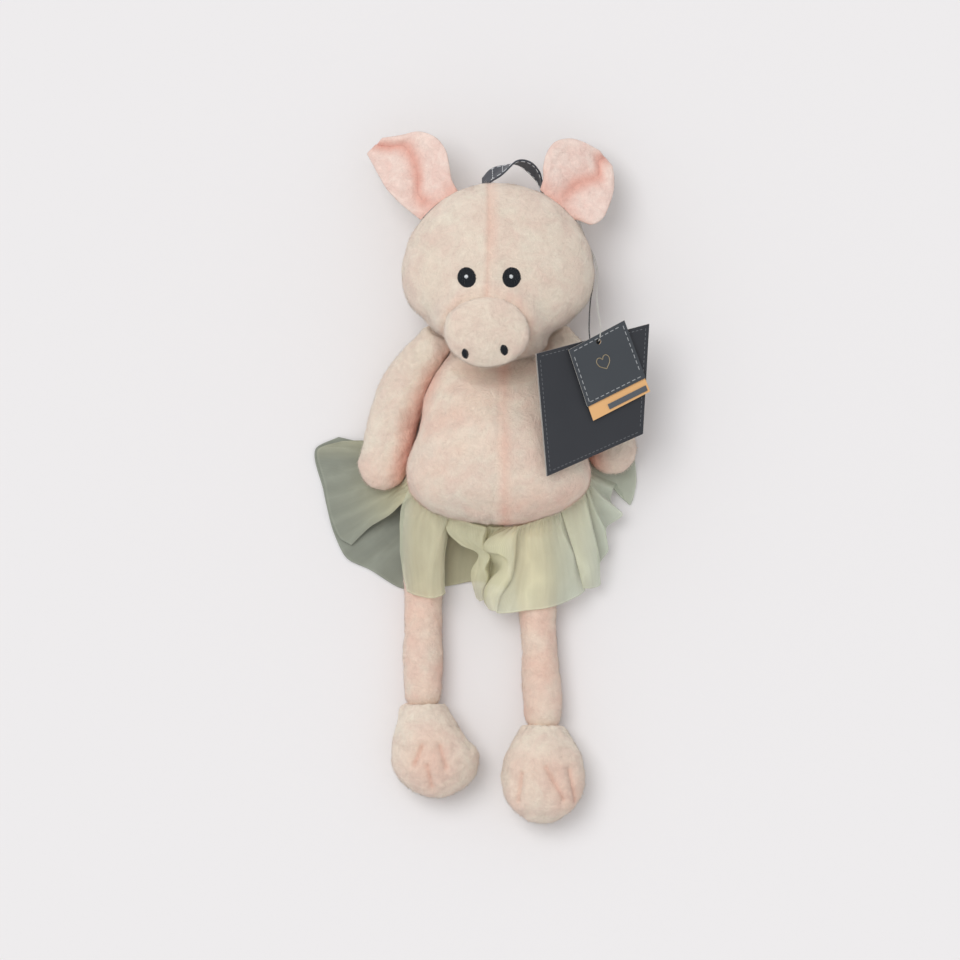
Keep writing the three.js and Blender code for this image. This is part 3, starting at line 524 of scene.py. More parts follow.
BELLY_SEAM = [(1.5, 52), (2.2, 30), (1.2, 0), (0.6, -20), (-2, -40), (-3.4, -57)]
torso = stuffed("torso_plush", TORSO, TORSO_ENDS, DOWN)
swell(torso, lambda p: (0.9 * ripple(p, 34, 1) + 0.3 * ripple(p, 11, 2)
                        - 0.7 * groove(to_line(p, BELLY_SEAM), 1.3) * (p[:, 2] > 30)
                        - 0.5 * groove(to_line(p, BELLY_SEAM), 9) * (0.5 + ripple(p, 13, 3)) * (p[:, 2] > 30)))
keep_clear(torso, in_torso_room, (1, 2, 30))
flatten_back(torso)
spots = points_of(torso)
x, y, z = spots.T
band = ramp(1 - np.abs(x - 5.5) / 6.5) * (z > 35)
low = ramp((-y - 28) / 30) * ramp((x + 4) / 12) * (z > 30)
# Painted shade: pinker low on the body's sides, in the crease where the arms lie against it.
painted_flank_shade = ramp((47 - z) / 14) * ramp((np.abs(x) - 30) / 12) * (y > -45)
paint(torso, "blush", ramp(0.34 * band + 0.3 * low + 0.6 * painted_flank_shade + 0.16 * (ripple(spots, 20, 4) + 0.7)))
paint(torso, "nap", z > BARE_BELOW)
finish_plush(torso, "torso", ["torso_front_left", "torso_front_right", "torso_back", "torso_stuffing"], PINK, seed=3)

# Head cover: two face panels joined down the forehead, and a back panel, of the same plush. The face is drawn
# in at the eyes by the embroidery and round the muzzle by its seam.
HEAD = [(1, 108, 44.5, 127, 90), (1, 92, 44.5, 119, 88), (1, 79, 44.5, 96, 82), (1, 65.7, 44.5, 66, 68)]
HEAD_ENDS = (61.6, 13.7)
FACE_SEAM = [(-4.9, 168), (-4.9, 140), (-5.2, 122), (-6, 96)]
MUZZLE_SEAM = (-5.9, 74, 28, 25)    # middle, half width and half height of its oval
EYES = ((10.2, 107.3, -10), (-19.3, 107.3, 16))     # place, and lean in degrees
NECK = (0, 62)
head = stuffed("head_plush", HEAD, HEAD_ENDS, DOWN, segments=240, rings=160)


def past_muzzle(points):
    """Rough distance in mm outside the muzzle's seam, seen from the front."""
    return 26 * (to_middle(points, *MUZZLE_SEAM) - 1)


def face_relief(p):
    """Uneven filling, sunk at the face seam and the eyes, and drawn up to the muzzle's seam above it."""
    front = p[:, 2] > 44
    rise = 0.8 * ripple(p, 40, 5) + 0.35 * ripple(p, 12, 6)
    rise -= 0.6 * groove(to_line(p, FACE_SEAM), 1.2) * front
    rise += 0.45 * groove(to_line(p, FACE_SEAM) - 4, 3) * front
    for x, y, _ in EYES:
        rise -= 1.4 * groove(to_middle(p, x, y), 11) * front
    off = past_muzzle(p)
    upper = ramp((p[:, 1] - 60) / 22)
    rise += (7.5 * upper * groove(np.maximum(off, 0), 7.5) - 2.2 * (1 - upper) * groove(off, 4.5)) * front
    return rise


swell(head, face_relief)
keep_clear(head, lambda p: (p[:, 2] < 41.4) & (to_middle(p, *NECK) < 37), (1, 104, 62))
flatten_back(head)
spots = points_of(head)
x, y, z = spots.T
# The pink ring just outside the muzzle's seam, on the face's front, is painted shade in the crease round the muzzle.
paint(head, "blush", ramp(0.22 * groove(to_line(spots, FACE_SEAM), 1.8)
                          + 0.2 * groove(past_muzzle(spots), 4) * (z > 60)
                          + 0.25 * ramp(1 - np.abs(x + 2) / 5) * ramp((y - 100) / 40)
                          + 0.06 * (ripple(spots, 30, 7) + 0.6)))
stitched = np.any([to_middle(spots, *eye[:2], 6.2, 6.9) < 1 for eye in EYES], axis=0) & (z > 44)
paint(head, "nap", (z > BARE_BELOW) & ~stitched)
finish_plush(head, "head", ["face_left", "face_right", "head_back", "head_stuffing"], PINK, seed=13)

# Muzzle: a flat-fronted cap of the same plush, stuffed and sewn on by its rim.
MUZZLE = [(-5.9, 77, 56, 50, 36), (-5.9, 76, 66, 52.6, 40.6), (-5.9, 72.4, 86, 56.6, 48.6),
          (-5.9, 71.2, 94, 55.1, 46.1)]
NOSTRILS = ((5.3, 59.4, 5, 7), (-20.3, 57, 4.2, 6.6))       # place, width and height
muzzle = stuffed("muzzle_plush", MUZZLE, (1, 9), top=(0, 1, 0), segments=160, rings=100)
swell(muzzle, lambda p: (0.5 * ripple(p, 22, 8) + 0.3 * ripple(p, 8, 9)
                         - sum(0.9 * groove(to_middle(p, *each[:2]), 5) for each in NOSTRILS) * (p[:, 2] > 90)))
spots = points_of(muzzle)
# Pinker down the muzzle's sides towards its seam on the face: painted shade.
paint(muzzle, "blush", np.clip(0.2 * (88 - spots[:, 2]) / 15, 0, 0.25) + 0.06)
stitched = np.any([to_middle(spots, *each) < 0.5 for each in NOSTRILS], axis=0) & (spots[:, 2] > 90)
paint(muzzle, "nap", ~stitched)
finish_plush(muzzle, "head", ["muzzle_cover", "muzzle_stuffing"], PINK, seed=23)

# Eyes and nostrils: satin-stitched ovals of black thread, each stitch lying beside the last, with a small white
# highlight over each eye.
THREAD = 0.42
EYE_SIZE, GLINT_SIZE = (12, 13.5), (3.1, 3.1)


def satin(name, cloth, x, y, width, height, lean, rise, material, across=False):
    """Side-by-side stitches over an oval, leaning in degrees, that arch up from the cloth under them."""
    stitches = []
    long, short = (width, height) if across else (height, width)
    for k in np.arange(-short / 2 + THREAD / 2, short / 2, THREAD):
        reach = long / 2 * math.sqrt(max(0.0, 1 - (2 * k / short) ** 2)) + 0.25 * noise.noise(Vector((k * 9, x, y)))
        line = []
        for t in np.linspace(-1, 1, 11):
            u, v = turned(*((t * reach, k) if across else (k, t * reach)), lean)
            hit = cloth.ray_cast(Vector(((x + u) / 1000, (y + v) / 1000, 0.2)), Vector((0, 0, -1)))
            arch = rise * math.sqrt(max(0.0, 1 - t * t)) * (1 - 0.35 * (2 * k / short) ** 2)
            line.append(hit[1] + hit[2] * (arch - 0.1) / 1000)
        stitches.append(wire(name, np.array([tuple(p) for p in line]), 0.00052 * THREAD, 1))
    piece = join(name, stitches)
    piece.data.materials.append(material)
    bpy.ops.object.shade_smooth()
    return piece


BLACK_THREAD = mottled("black thread", srgb(18, 22, 28), srgb(36, 41, 48), 0.5, 0.0009, 0.15, Specular_IOR_Level=0.3)
WHITE_THREAD = mottled("white thread", srgb(236, 240, 242), srgb(214, 218, 222), 0.45, 0.0006, 0.15)
for side, (x, y, lean) in zip(("left", "right"), EYES):
    eye = satin(f"eye_{side}_stitched", head, x, y, *EYE_SIZE, lean, 1.3, BLACK_THREAD)
    x -= 0.4 if side == "left" else 0
    glint = satin(f"glint_{side}_stitched", head, x, y + 0.2, *GLINT_SIZE, 0, 2.1, WHITE_THREAD, across=True)
    tie(eye, "head", "thread_black", f"eye_{side}")
    tie(glint, "head", "thread_white", f"eye_glint_{side}")
for side, place in zip(("left", "right"), NOSTRILS):
    nostril = satin(f"nostril_{side}_stitched", muzzle, *place, 14, 1.0, BLACK_THREAD)
    tie(nostril, "head", "thread_black", f"nostril_{side}")

# Arms: tapered tubes sewn in under the cheeks, limp enough to be pressed in where the head and body touch them.
SHOULDERS = {
    "right": [(-40, 64), (-53.5, 46), (-64, 25), (-70, 5), (-74.6, -16.5)],
    "left": [(40, 65), (53, 48), (64, 28), (72, 10), (76, -6)],
}
ARM_HEIGHT, HAND_LENGTH = 17.6, 16.5
ARM_WIDTHS, ARM_DEPTHS = (24, 30, 33, 33, 33), (21, 24, 26, 26, 26)
for side, path in SHOULDERS.items():
    stations = [(*at, ARM_HEIGHT, w, d) for at, w, d in zip(path, ARM_WIDTHS, ARM_DEPTHS)]
    arm = stuffed(f"arm_{side}_plush", stations, (12, HAND_LENGTH), segments=110, rings=130)
    swell(arm, lambda p: 0.9 * ripple(p, 21, 31) + 0.5 * ripple(p, 8, 32))
    spots = points_of(arm)
    line = smooth_line([s[:3] for s in stations], 60)
    nearest = line[np.argmin(np.linalg.norm(spots[:, None, :2] - line[None, :, :2], axis=2), axis=1)]
    for turn in (-6, 2, 9):         # the head's range about the neck, in degrees
        keep_clear(arm, within(HEAD, HEAD_ENDS, 1.6, turn, NECK), nearest)
    keep_clear(arm, within(TORSO, TORSO_ENDS, 1.4), nearest)
    spots = points_of(arm)
    sign = -1 if side == "right" else 1
    # Painted shade: pinker along the side that lies against the body, in that crease; pinker towards the hand as well.
    paint(arm, "blush", ramp(0.85 * ramp(-sign * (spots[:, 0] - nearest[:, 0]) / 14) ** 1.5
                             + 0.3 * ramp((-2 - spots[:, 1]) / 26)))
    paint(arm, "nap", spots[:, 2] > 2)
    finish_plush(arm, f"arm_{side}", [f"arm_{side}_cover", f"arm_{side}_stuffing"], PINK, seed=33,
                 comb=(0.25 * sign, -0.6, 0))

# Legs and feet: long limp tubes with softly creased knees, and bulb feet gathered on at the ankles, each with
# three tucks sewn through it for toes.
LIMBS = {
    "right": dict(hip=HIP_RIGHT, ankle=(-48.2, -166), knee=0.96, width=57.4, drift=8.6, length=70, fill=(0.63, 0.84),
                  tucks=[(-49, -202, -54, -214), (-37, -202, -33, -216), (-45.5, -215, -42.5, -228)],
                  creases=[((-62, -128), (-52, -133), (-42, -130)), ((-60, -150), (-50, -147), (-38, -151))]),
    "left": dict(hip=HIP_LEFT, ankle=(31, -180), knee=0.9, width=54.8, drift=0, length=73, fill=(0.71, 0.94),
                 tucks=[(17, -220, 14.6, -238), (33, -216, 44.5, -237), (48.6, -218, 52, -238)],
                 creases=[((14, -141), (21, -139), (30, -142)), ((43, -152), (34, -156), (24, -154))]),
}
for side, limb in LIMBS.items():
    (hx, hy), (ax, ay) = limb["hip"], limb["ankle"]
    shares = ((0, 1, 1), (0.35, 1.03, 1), (0.66, limb["knee"], 0.96), (0.82, 1.02, 1), (1, 0.96, 1))
    stations = [(hx + (ax - hx) * t, hy + (ay - hy) * t, LEG_HEIGHT, LEG_WIDTH * w, LEG_WIDTH * d)
                for t, w, d in shares]
    leg = stuffed(f"leg_{side}_plush", stations, (12.7, 12.7), DOWN, segments=96, rings=170)
    swell(leg, lambda p: (0.45 * ripple(p * (1, 1.6, 1), 21, 41) + 0.2 * ripple(p, 7, 42)
                          - sum(0.5 * groove(to_line(p, c), 1.8) for c in limb["creases"]) * (p[:, 2] > 12)))
    spots = points_of(leg)
    paint(leg, "blush", np.clip(0.3 + 0.2 * ripple(spots, 22, 43), 0, 0.6))
    paint(leg, "nap", spots[:, 1] < hy - 6)
    finish_plush(leg, f"leg_{side}", [f"leg_{side}_cover", f"leg_{side}_stuffing"], PINK, seed=45)

    start = ay - 9.14
    width, drift, fill = limb["width"], limb["drift"], limb["fill"]
    bulb = [(ax, start, 15.5, 28.4, 27), (ax + drift * 0.2, start - 9, 18.5, fill[0] * width, 36.1),
            (ax + drift * 0.55, start - 22, 20.5, fill[1] * width, 42), (ax + drift, start - 33, 20.5, width, 42)]
    foot = stuffed(f"foot_{side}_plush", bulb, (1, start - 33 - ay + limb["length"]), DOWN, segments=150, rings=110)
    tucks = [((a, b), (c, d)) for a, b, c, d in limb["tucks"]]

    def toes(p):
        """Uneven filling, pulled in at the toe tucks and gathered at the ankle."""
        top = ramp((p[:, 2] - 18) / 14)
        rise = 0.8 * ripple(p, 19, 51) + 0.4 * ripple(p, 7, 52)
        for tuck in tucks:
            near = to_line(p, tuck)
            rise += top * (-1.3 * groove(near, 1.1) - 0.9 * groove(near, 4.5) + 0.8 * groove(near - 5, 3))
        around = np.arctan2(p[:, 2] - 17, p[:, 0] - ax)
        return rise + ramp((p[:, 1] - (start - 20)) / 22) * 0.25 * np.sin(11 * around + 3 * ripple(p, 15, 53))

    swell(foot, toes)
    flatten_back(foot)
    spots = points_of(foot)
    # Painted shade: pinker in the tuck creases; pinker round the tucks as well.
    marks = sum(groove(to_line(spots, tuck), 1.6) for tuck in tucks) * (spots[:, 2] > 25)
    cheeks = sum(groove(to_line(spots, tuck), 12) for tuck in tucks) * (spots[:, 2] > 20)
    paint(foot, "blush", np.clip(0.22 * marks + 0.2 * cheeks, 0, 0.6))
    paint(foot, "nap", spots[:, 2] > BARE_BELOW)
    finish_plush(foot, f"foot_{side}", [f"foot_{side}_cover", f"foot_{side}_stuffing"], PINK, seed=55)

# Ears: a plush back and a smoother inner layer sewn round the rim, folded into a valley from the base and
# flopped over. Each row is distance from the base seam, low side, high side and place of the valley.
EARS = {
    "left": dict(base=(40.4, 157), turn=40, rows=[
        (-3, -12, 13, 0), (3, -17, 17, 0), (9, -26, 24, 0.5), (16, -27, 29, 1), (23, -24, 31, -1),
        (31, -19, 28, -4), (38, -12, 19, 3), (42.5, -5, 8, 2)]),
    "right": dict(base=(-38.3, 156), turn=134.7, rows=[
        (-3, -14.5, 14.5, 0), (5, -17, 15.5, 5), (13, -22.5, 16.5, 5), (22, -28, 17, -3),
        (32, -29, 16.5, -9), (41, -25, 14, -11), (49, -13.5, 11.5, -4), (56, -4, 9.5, 2)]),
}
EAR_PINK = plush("ear velour", srgb(249, 227, 216), srgb(243, 212, 201), srgb(234, 174, 158), 90.0)
EAR_CLOTH = 0.0009
EAR_STEPS = 80
EAR_TOP = 46            # height of the ears' base over the table


def thicken(piece, thickness, offset):
    """Gives a sheet its thickness with a Solidify modifier, and applies it."""
    bpy.context.view_layer.objects.active = piece
    solid = piece.modifiers.new("Solidify", "SOLIDIFY")
    solid.thickness, solid.offset = thickness, offset
    bpy.ops.object.modifier_apply(modifier="Solidify")


for side, ear in EARS.items():
    outline = smooth_line(ear["rows"], EAR_STEPS)
    way, over = (np.array([*turned(*step, ear["turn"]), 0]) for step in ((1, 0), (0, 1)))
    base, length = np.array([*ear["base"], 0]), ear["rows"][-1][0]

    def leaf(across, down, front, cushion):
        """One layer: the front bulges up by cushion and the back down by it, and both meet at the rim."""
        u, low, high, valley = (np.interp(down, np.linspace(0, 1, EAR_STEPS), outline[:, k]) for k in range(4))
        k = across * 2 - 1
        v = np.where(k < 0, valley + (valley - low) * k, valley + (high - valley) * k)
        rim, t = 1 - np.abs(k), np.maximum(u, 0) / length
        plump = np.sqrt(np.maximum(np.minimum(1, np.minimum(rim * 6, (1 - down) * 9)), 0))
        z = (EAR_TOP - 14 * t**2 - 7 * rim * np.minimum(1, 3 * t) - 3 * (1 - rim) ** 4 * t
             + (cushion * plump if front else -0.1 - cushion * plump))
        return base + u[:, None] * way + v[:, None] * over + z[:, None] * np.array([0, 0, 1])

    inner = grid(f"ear_{side}_velour", 110, 110, lambda a, d: leaf(a, d, True, 1.5))
    back = grid(f"ear_{side}_plush", 110, 110, lambda a, d: leaf(a, d, False, 5.6))
    for layer in (inner, back):
        spots = points_of(layer)
        spots[:, 2] += 0.8 * ripple(spots * (1, 1, 0), 17, 61) + 0.5 * ripple(spots * (1, 1, 0), 7, 62)
        put_points(layer, spots)
        thicken(layer, EAR_CLOTH, -1)
        keep_clear(layer, within(HEAD, HEAD_ENDS, 0.2), points_of(layer) + 25 * way)
        paint(layer, "nap", np.ones(len(layer.data.vertices)))
    u, v = ((points_of(inner) - base) @ np.stack((way, over)).T).T
    valley = np.interp(u, outline[:, 0], outline[:, 3])
    # Painted shade: pinker along the fold's valley and at the base seam of the inner layer.
    paint(inner, "blush", ramp(0.8 * groove(v - valley, 5.5) * np.clip(u / 8, 0.3, 1) + 0.5 * ramp(1 - u / 9)))
    finish_plush(inner, f"ear_{side}", [f"ear_{side}_inner"], EAR_PINK, slot="ear_pink", seed=63, length=1.1)
    finish_plush(back, f"ear_{side}", [f"ear_{side}_back"], PINK, seed=65)

# Skirt: one strip of sheer sage organza, gathered into the belly's rim seam. Over the legs it stands in box
# folds; at the toy's right it is spread on the table with its upper part folded back over itself.
# Each fold line runs from the waist to the hem; the cloth is drawn from line to line.
ORGANZA_THICK = 0.00035
STRIP = 62              # the strip's depth from waist to hem
MEAN_CREASE = 0.36      # of a pleat's rise over one turn


def organza(name, warm, cool, alpha):
    """Sheer woven organza: a crossed weave and streaks down the cloth, with painted highlight and shade from the fold
    value, cooler where cool is painted.
    """
    material, tree = new_material(name, warm, 0.6, Sheen_Weight=0.2, Sheen_Roughness=0.4, Specular_IOR_Level=0.25)
    place = signal(tree, "ShaderNodeUVMap", uv_map="UVMap")
    threads = []
    for turn in (0.0, math.pi / 2):
        run = signal(tree, "ShaderNodeMapping", {"Vector": place, "Rotation": (0, 0, turn)})
        threads.append(signal(tree, "ShaderNodeTexWave", {"Vector": run, "Scale": 0.55, "Distortion": 0.8,
                                                          "Detail": 1.0}, "Fac"))
    weave = calc(tree, "MULTIPLY", *threads)
    streak = noise_at(tree, signal(tree, "ShaderNodeMapping", {"Vector": place, "Scale": (0.35, 0.03, 1.0)}), 1.0, 4.0)
    # Painted light and shade: the colour is lightened where fold is painted high and darkened where it is low.
    lit = calc(tree, "MULTIPLY", mapped(tree, painted(tree, "fold"), 0, 1, 0.84, 1.16),
               mapped(tree, streak, 0.3, 0.7, 0.955, 1.045))
    sheer = mapped(tree, weave, 0, 1, alpha - 0.06, alpha + 0.08)
    tree.links.new(sheer, tree.nodes["Principled BSDF"].inputs["Alpha"])
    hue = mixed(tree, painted(tree, "cool"), warm, cool)
    return dress(material, mixed(tree, 1.0, hue, lit, "MULTIPLY"), weave, 0.25, 0.0002)


def tuck_under(piece, x, y, room=1.0):
    """Lowers cloth that lies under a hand, whose rounded end starts at x, y."""
    points = points_of(piece)
    size = np.sqrt(1 - ramp((y - points[:, 1]) / HAND_LENGTH) ** 2)
    lean = (points[:, 0] - x + np.sign(x) * np.clip(points[:, 1] - y, 0, 20) * 0.22) / np.maximum(17.5 * size, 0.1)
    under = (np.abs(lean) < 1) & (points[:, 1] < y + 22) & (points[:, 1] > y - HAND_LENGTH)
    floor = ARM_HEIGHT - 13.5 * size * np.sqrt(np.maximum(0, 1 - lean**2)) - room
    points[:, 2] = np.where(under, np.minimum(points[:, 2], np.maximum(floor, 1.2)), points[:, 2])
    put_points(piece, points)


def panel(name, lines, columns, pleats, seed, rows=70, tone=0.0):
    """Cloth over fold lines, each (x, y, z) from waist to hem, with fine gathers there and pleats (count, mm) below."""
    drawn = np.array([smooth_line(line, rows + 1) for line in lines])
    gaps = np.mean(np.linalg.norm(np.diff(drawn, axis=0), axis=2), axis=1)
    length = np.cumsum(gaps)[-1]
    cloth = curve_through(drawn.reshape(len(lines), -1), gaps, columns + 1, 0.8).reshape(columns + 1, rows + 1, 3)

    def cell(across, along):
        return np.rint(across * columns).astype(int), np.rint(along * rows).astype(int)

    piece = grid(name, columns, rows, lambda a, d: cloth[cell(a, d)])
    uv, loops = piece.data.uv_layers[0].uv, piece.data.loops
    values, owner = np.empty(len(loops) * 2), np.empty(len(loops), int)
    uv.foreach_get("vector", values)
    loops.foreach_get("vertex_index", owner)
    values = values.reshape(-1, 2)
    uv.foreach_set("vector", (values * (length, STRIP)).ravel())
    wide, down = np.zeros((2, len(piece.data.vertices)))
    wide[owner], down[owner] = values.T
    waist = 0.5 * np.exp(-down / 0.16)
    sway = ripple(points_of(piece), 34, seed + 2)
    crease = 1 - np.abs(np.sin(math.pi * (wide * pleats[0] + 0.3 * sway))) - MEAN_CREASE
    swell(piece, lambda p: waist * np.sin(wide * length * 1.5 + 2 * ripple(p, 9, seed)) * ramp(down * 20)
          + 0.35 * ripple(p, 14, seed + 1) + pleats[1] * crease * ramp(down * 3))
    crest = np.gradient(np.gradient(cloth[:, :, 2], axis=0), axis=0)
    height = cloth[:, :, 2] - np.median(cloth[:, :, 2], axis=0)
    rim = 0.35 * ((down > 0.985) | (down < 0.03))
    at = cell(wide, down)
    # Painted highlight and shade, as the fold value: higher on fold crests, raised cloth, pleat crests and the waist
    # and hem rows, lower in hollows; tone shifts it all.
    paint(piece, "fold", ramp(0.5 + tone - crest[at] * 3 + height[at] * 0.02 + 0.5 * crease + rim))
    return piece


def sew_skirt(piece, node, material, leg=None):
    """Gives a stretch of skirt its thickness and material, hides the node that it stands for, and ties it to the torso,
    or over a leg only bakes in its place.
    """
    thicken(piece, ORGANZA_THICK, 0)
    piece.data.materials.append(material)
    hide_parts(node)
    if leg:
        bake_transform(piece)
    else:
        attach(piece, "torso")


SAGE = organza("sage organza", srgb(233, 230, 198), srgb(208, 215, 196), 0.5)
# A darker, nearly opaque copy of the same organza for the cloth laid on the table beneath the rest: painted shade.
SAGE_LAID_SHADED = organza("sage organza laid down", srgb(200, 196, 164), srgb(146, 150, 138), 0.93)

over_right = panel("skirt_over_right_leg", [
    [(-57, -31, 33), (-62.5, -44, 30), (-63.8, -60, 25), (-63.4, -75, 22), (-61.5, -90, 23), (-59, -100, 25)],
    [(-50, -36.5, 35.5), (-55, -50, 32), (-56, -75, 29.8), (-54.5, -90, 29.4), (-53, -102.5, 29)],
    [(-43, -41, 36), (-46, -55, 32.8), (-47.5, -78, 30), (-46.5, -92, 29.6), (-45.5, -104.3, 29.2)],
    [(-37, -45.5, 36), (-38.5, -58, 34), (-41, -76, 31.2), (-42.4, -90, 30), (-42, -104.5, 29.4)],
    [(-32, -49, 35.5), (-33.2, -54, 34.8), (-36.5, -64, 33), (-40.6, -80, 30.8), (-41.2, -92, 29.6),
     (-40.6, -104.4, 28.9)],
    [(-31.5, -49.5, 33.5), (-33, -62, 30.5), (-36.2, -78, 29), (-36.5, -92, 28.2), (-35.6, -102.6, 27.6)],
    [(-31, -49.5, 31), (-32, -62, 27.5), (-34.2, -78, 26.4), (-34, -92, 25.5), (-33.6, -101, 24.6)],
], 90, pleats=(1.7, 0.9), tone=-0.45, seed=70)
paint(over_right, "cool", np.clip((-54 - points_of(over_right)[:, 0]) / 10, 0, 0.5))
sew_skirt(over_right, "skirt_front_right", SAGE, leg="right")

over_left = panel("skirt_over_left_leg", [
    [(-31, -49.5, 34), (-33, -58, 33), (-24, -69, 30), (-12.2, -75.6, 27), (-16.5, -88, 20), (-15.2, -98, 15),
     (-12.8, -104.8, 11)],
    [(-20, -53.5, 36), (-19, -65, 33.5), (-9.5, -75, 30.5), (-12.6, -88, 25), (-12.5, -98, 19), (-10.8, -106.4, 13)],
    [(-7.5, -57.2, 35.5), (-8.8, -70.5, 33), (-4.2, -76.4, 31), (-7.6, -85.6, 28.5), (-5.6, -90, 26),
     (-8.8, -99, 21), (-8.9, -105.4, 15)],
    [(-5, -57, 31), (-5, -72, 24), (-3, -80, 18), (-5, -92, 13), (-7.5, -104, 10)],
    [(-2, -57.3, 31), (-5.5, -69, 27), (-5.8, -75, 25), (0, -84, 22), (-3.5, -95, 19), (-7.3, -105.5, 16)],
    [(9, -57, 35), (-5, -65.5, 36.3), (-7.6, -69.5, 36), (-6.4, -73.4, 35), (3.3, -76, 34.5), (4.2, -83, 33.5),
     (-3.6, -92.4, 31), (-7.6, -99, 28), (-7.8, -106, 24), (-4.5, -111.6, 21)],
    [(15, -56.6, 36.6), (13, -63.4, 38), (12.2, -75.2, 37.2), (9.4, -91, 35), (2, -104, 31.5), (0, -113.6, 26.5)],
    [(16, -56.5, 36), (14, -63.4, 34.6), (13.4, -75.2, 32.6), (10.6, -91, 31), (3.4, -104, 29.4), (1.4, -114.4, 25.3)],
    [(18.5, -55.7, 34.8), (17, -64, 33), (17, -78, 31), (13.5, -95, 30), (9, -114.2, 28.4)],
    [(24, -54, 35), (22, -60, 33.6), (22, -63, 34), (22, -80, 30.8), (20, -97, 30), (18, -112.8, 29.2)],
    [(31, -51.5, 34.8), (31, -59.6, 33.4), (31, -62.4, 34), (33, -78, 31), (34, -95, 30), (33, -111, 28.6)],
    [(38, -48.5, 34.4), (40, -60, 33), (43, -75, 30.4), (45, -90, 27), (46, -107, 22)],
    [(41, -47, 34.5), (44, -60, 33.5), (50, -75, 30), (51.5, -88.5, 26), (56, -102, 19)],
    [(43.5, -45.4, 30), (47, -60, 27), (52, -75, 22), (55.5, -88, 17.5), (59, -99, 12)],
], 200, pleats=(4.3, 0.9), seed=72)
x, y, z = points_of(over_left).T
paint(over_left, "cool", np.clip((x - 30) / 26, 0, 0.75) + 0.3 * ramp((-y - 92) / 20))
sew_skirt(over_left, "skirt_front_left", SAGE, leg="left")

side_folds = panel("skirt_side_folds", [
    [(42.6, -45.6, 33.5), (47, -60, 31), (52, -76, 27), (55, -88, 22), (57.5, -98, 15)],
    [(50, -41.5, 33), (55, -60, 30.4), (60, -78, 25), (63, -90, 20), (63.5, -97.5, 14)],
    [(57.5, -36, 31.5), (64.5, -62, 27), (68, -77.6, 22), (69, -95, 13)],
    [(58.5, -35, 28), (64, -58, 19), (68.3, -81.6, 8)],
    [(59.5, -32, 29), (66, -48, 24), (72, -60, 19), (74.3, -72.2, 12)],
    [(60, -30, 28), (66, -44, 21), (73, -57.4, 12)],
    [(60.5, -28, 28.4), (70, -38, 24), (83.7, -49.3, 15)],
    [(61, -26, 27), (68, -33, 20), (75.5, -40, 11)],
    [(61, -24, 26), (69, -29, 20), (77, -33, 13)],
    [(61, -21, 23), (70, -25, 13), (80, -30, 5)],
    [(60.5, -19, 21), (74, -28, 8), (88, -43, 1.8)],
    [(59, -17, 18), (75, -20, 5), (92.5, -27.7, 1.5)],
    [(57, -15, 16), (74, -10, 4), (90.8, -7, 1.5)],
], 140, pleats=(5, 0.8), seed=74)
tuck_under(side_folds, 76, -6)
paint(side_folds, "cool", np.clip((points_of(side_folds)[:, 0] - 48) / 22, 0.35, 1))
sew_skirt(side_folds, "skirt_side_left", SAGE)

flap = panel("skirt_flap", [
    [(-47, -14, 17), (-58, -9, 4), (-70, -5, 1.6), (-86, -2, 1.3), (-104, 2, 1.2)],
    [(-47, -17, 16.5), (-60, -13, 3.4), (-75, -10, 1.5), (-95, -7, 1.3), (-118.5, -5, 1.2)],
    [(-45.5, -20, 15), (-60, -22, 3), (-78, -27, 1.6), (-95, -30, 1.4), (-114, -33, 1.2)],
    [(-43, -23, 13), (-58, -33, 2.6), (-75, -43, 1.6), (-90, -52, 1.5), (-107.5, -60, 1.2)],
    [(-38, -25, 11), (-52, -41, 2.4), (-68, -54, 1.6), (-83, -66, 1.5), (-99, -77.5, 1.2)],
    [(-32, -26.5, 8), (-43, -47, 2.4), (-57, -63, 1.7), (-70, -76, 1.6), (-82.5, -86, 1.2)],
    [(-28, -27, 6), (-37, -55, 1.9), (-48, -78, 1.8), (-62, -98, 1.2)],
    [(-20, -28.5, 5), (-26, -55, 1.8), (-32, -78, 1.8), (-34.5, -96.8, 1.2)],
    [(-12, -30, 4.5), (-14, -55, 1.8), (-15, -78, 1.8), (-14, -93, 1.2)],
    [(4, -32, 4.5), (5, -55, 1.8), (7, -78, 1.8), (8, -98, 1.2)],
], 140, rows=90, pleats=(8, 0.5), seed=76)
tuck_under(flap, -74.6, -16.5, 2.2)
paint(flap, "cool", 1.05 - 0.9 * ramp((points_of(flap)[:, 0] + 42) / 12))
sew_skirt(flap, "skirt_back", SAGE_LAID_SHADED)

flap_fold = panel("skirt_flap_fold", [
    [(-54, -8, 22), (-61, -6, 6), (-72, -3, 3.4), (-86, -0.5, 2.9), (-101, -0.5, 2.6)],
    [(-57, -14, 25), (-63, -11, 7), (-75, -9, 3.4), (-95, -6, 3), (-117.5, -6, 2.7)],
    [(-57, -20, 29), (-64, -20, 10), (-78, -22, 3.8), (-95, -25, 3.2), (-113.5, -29, 2.8)],
    [(-56.5, -26, 31.5), (-64, -30, 15), (-75, -35, 6.5), (-92, -43, 3.8), (-109.5, -50, 2.9)],
    [(-55, -31, 33), (-62.5, -37, 22), (-73, -44, 10.5), (-87, -54, 5.4), (-103, -65, 3)],
    [(-52, -34.5, 33.6), (-61, -41, 27), (-71, -50, 15), (-83, -57.5, 7.5), (-95.4, -69.4, 3.4)],
], 90, rows=80, pleats=(5.3, 0.5), seed=78)
tuck_under(flap_fold, -74.6, -16.5)
spots = points_of(flap_fold)
paint(flap_fold, "cool", ramp(1 - groove(to_middle(spots, -52, -34), 30) - 0.35 * ramp((spots[:, 1] + 14) / 12)))
sew_skirt(flap_fold, "skirt_back", SAGE_LAID_SHADED)

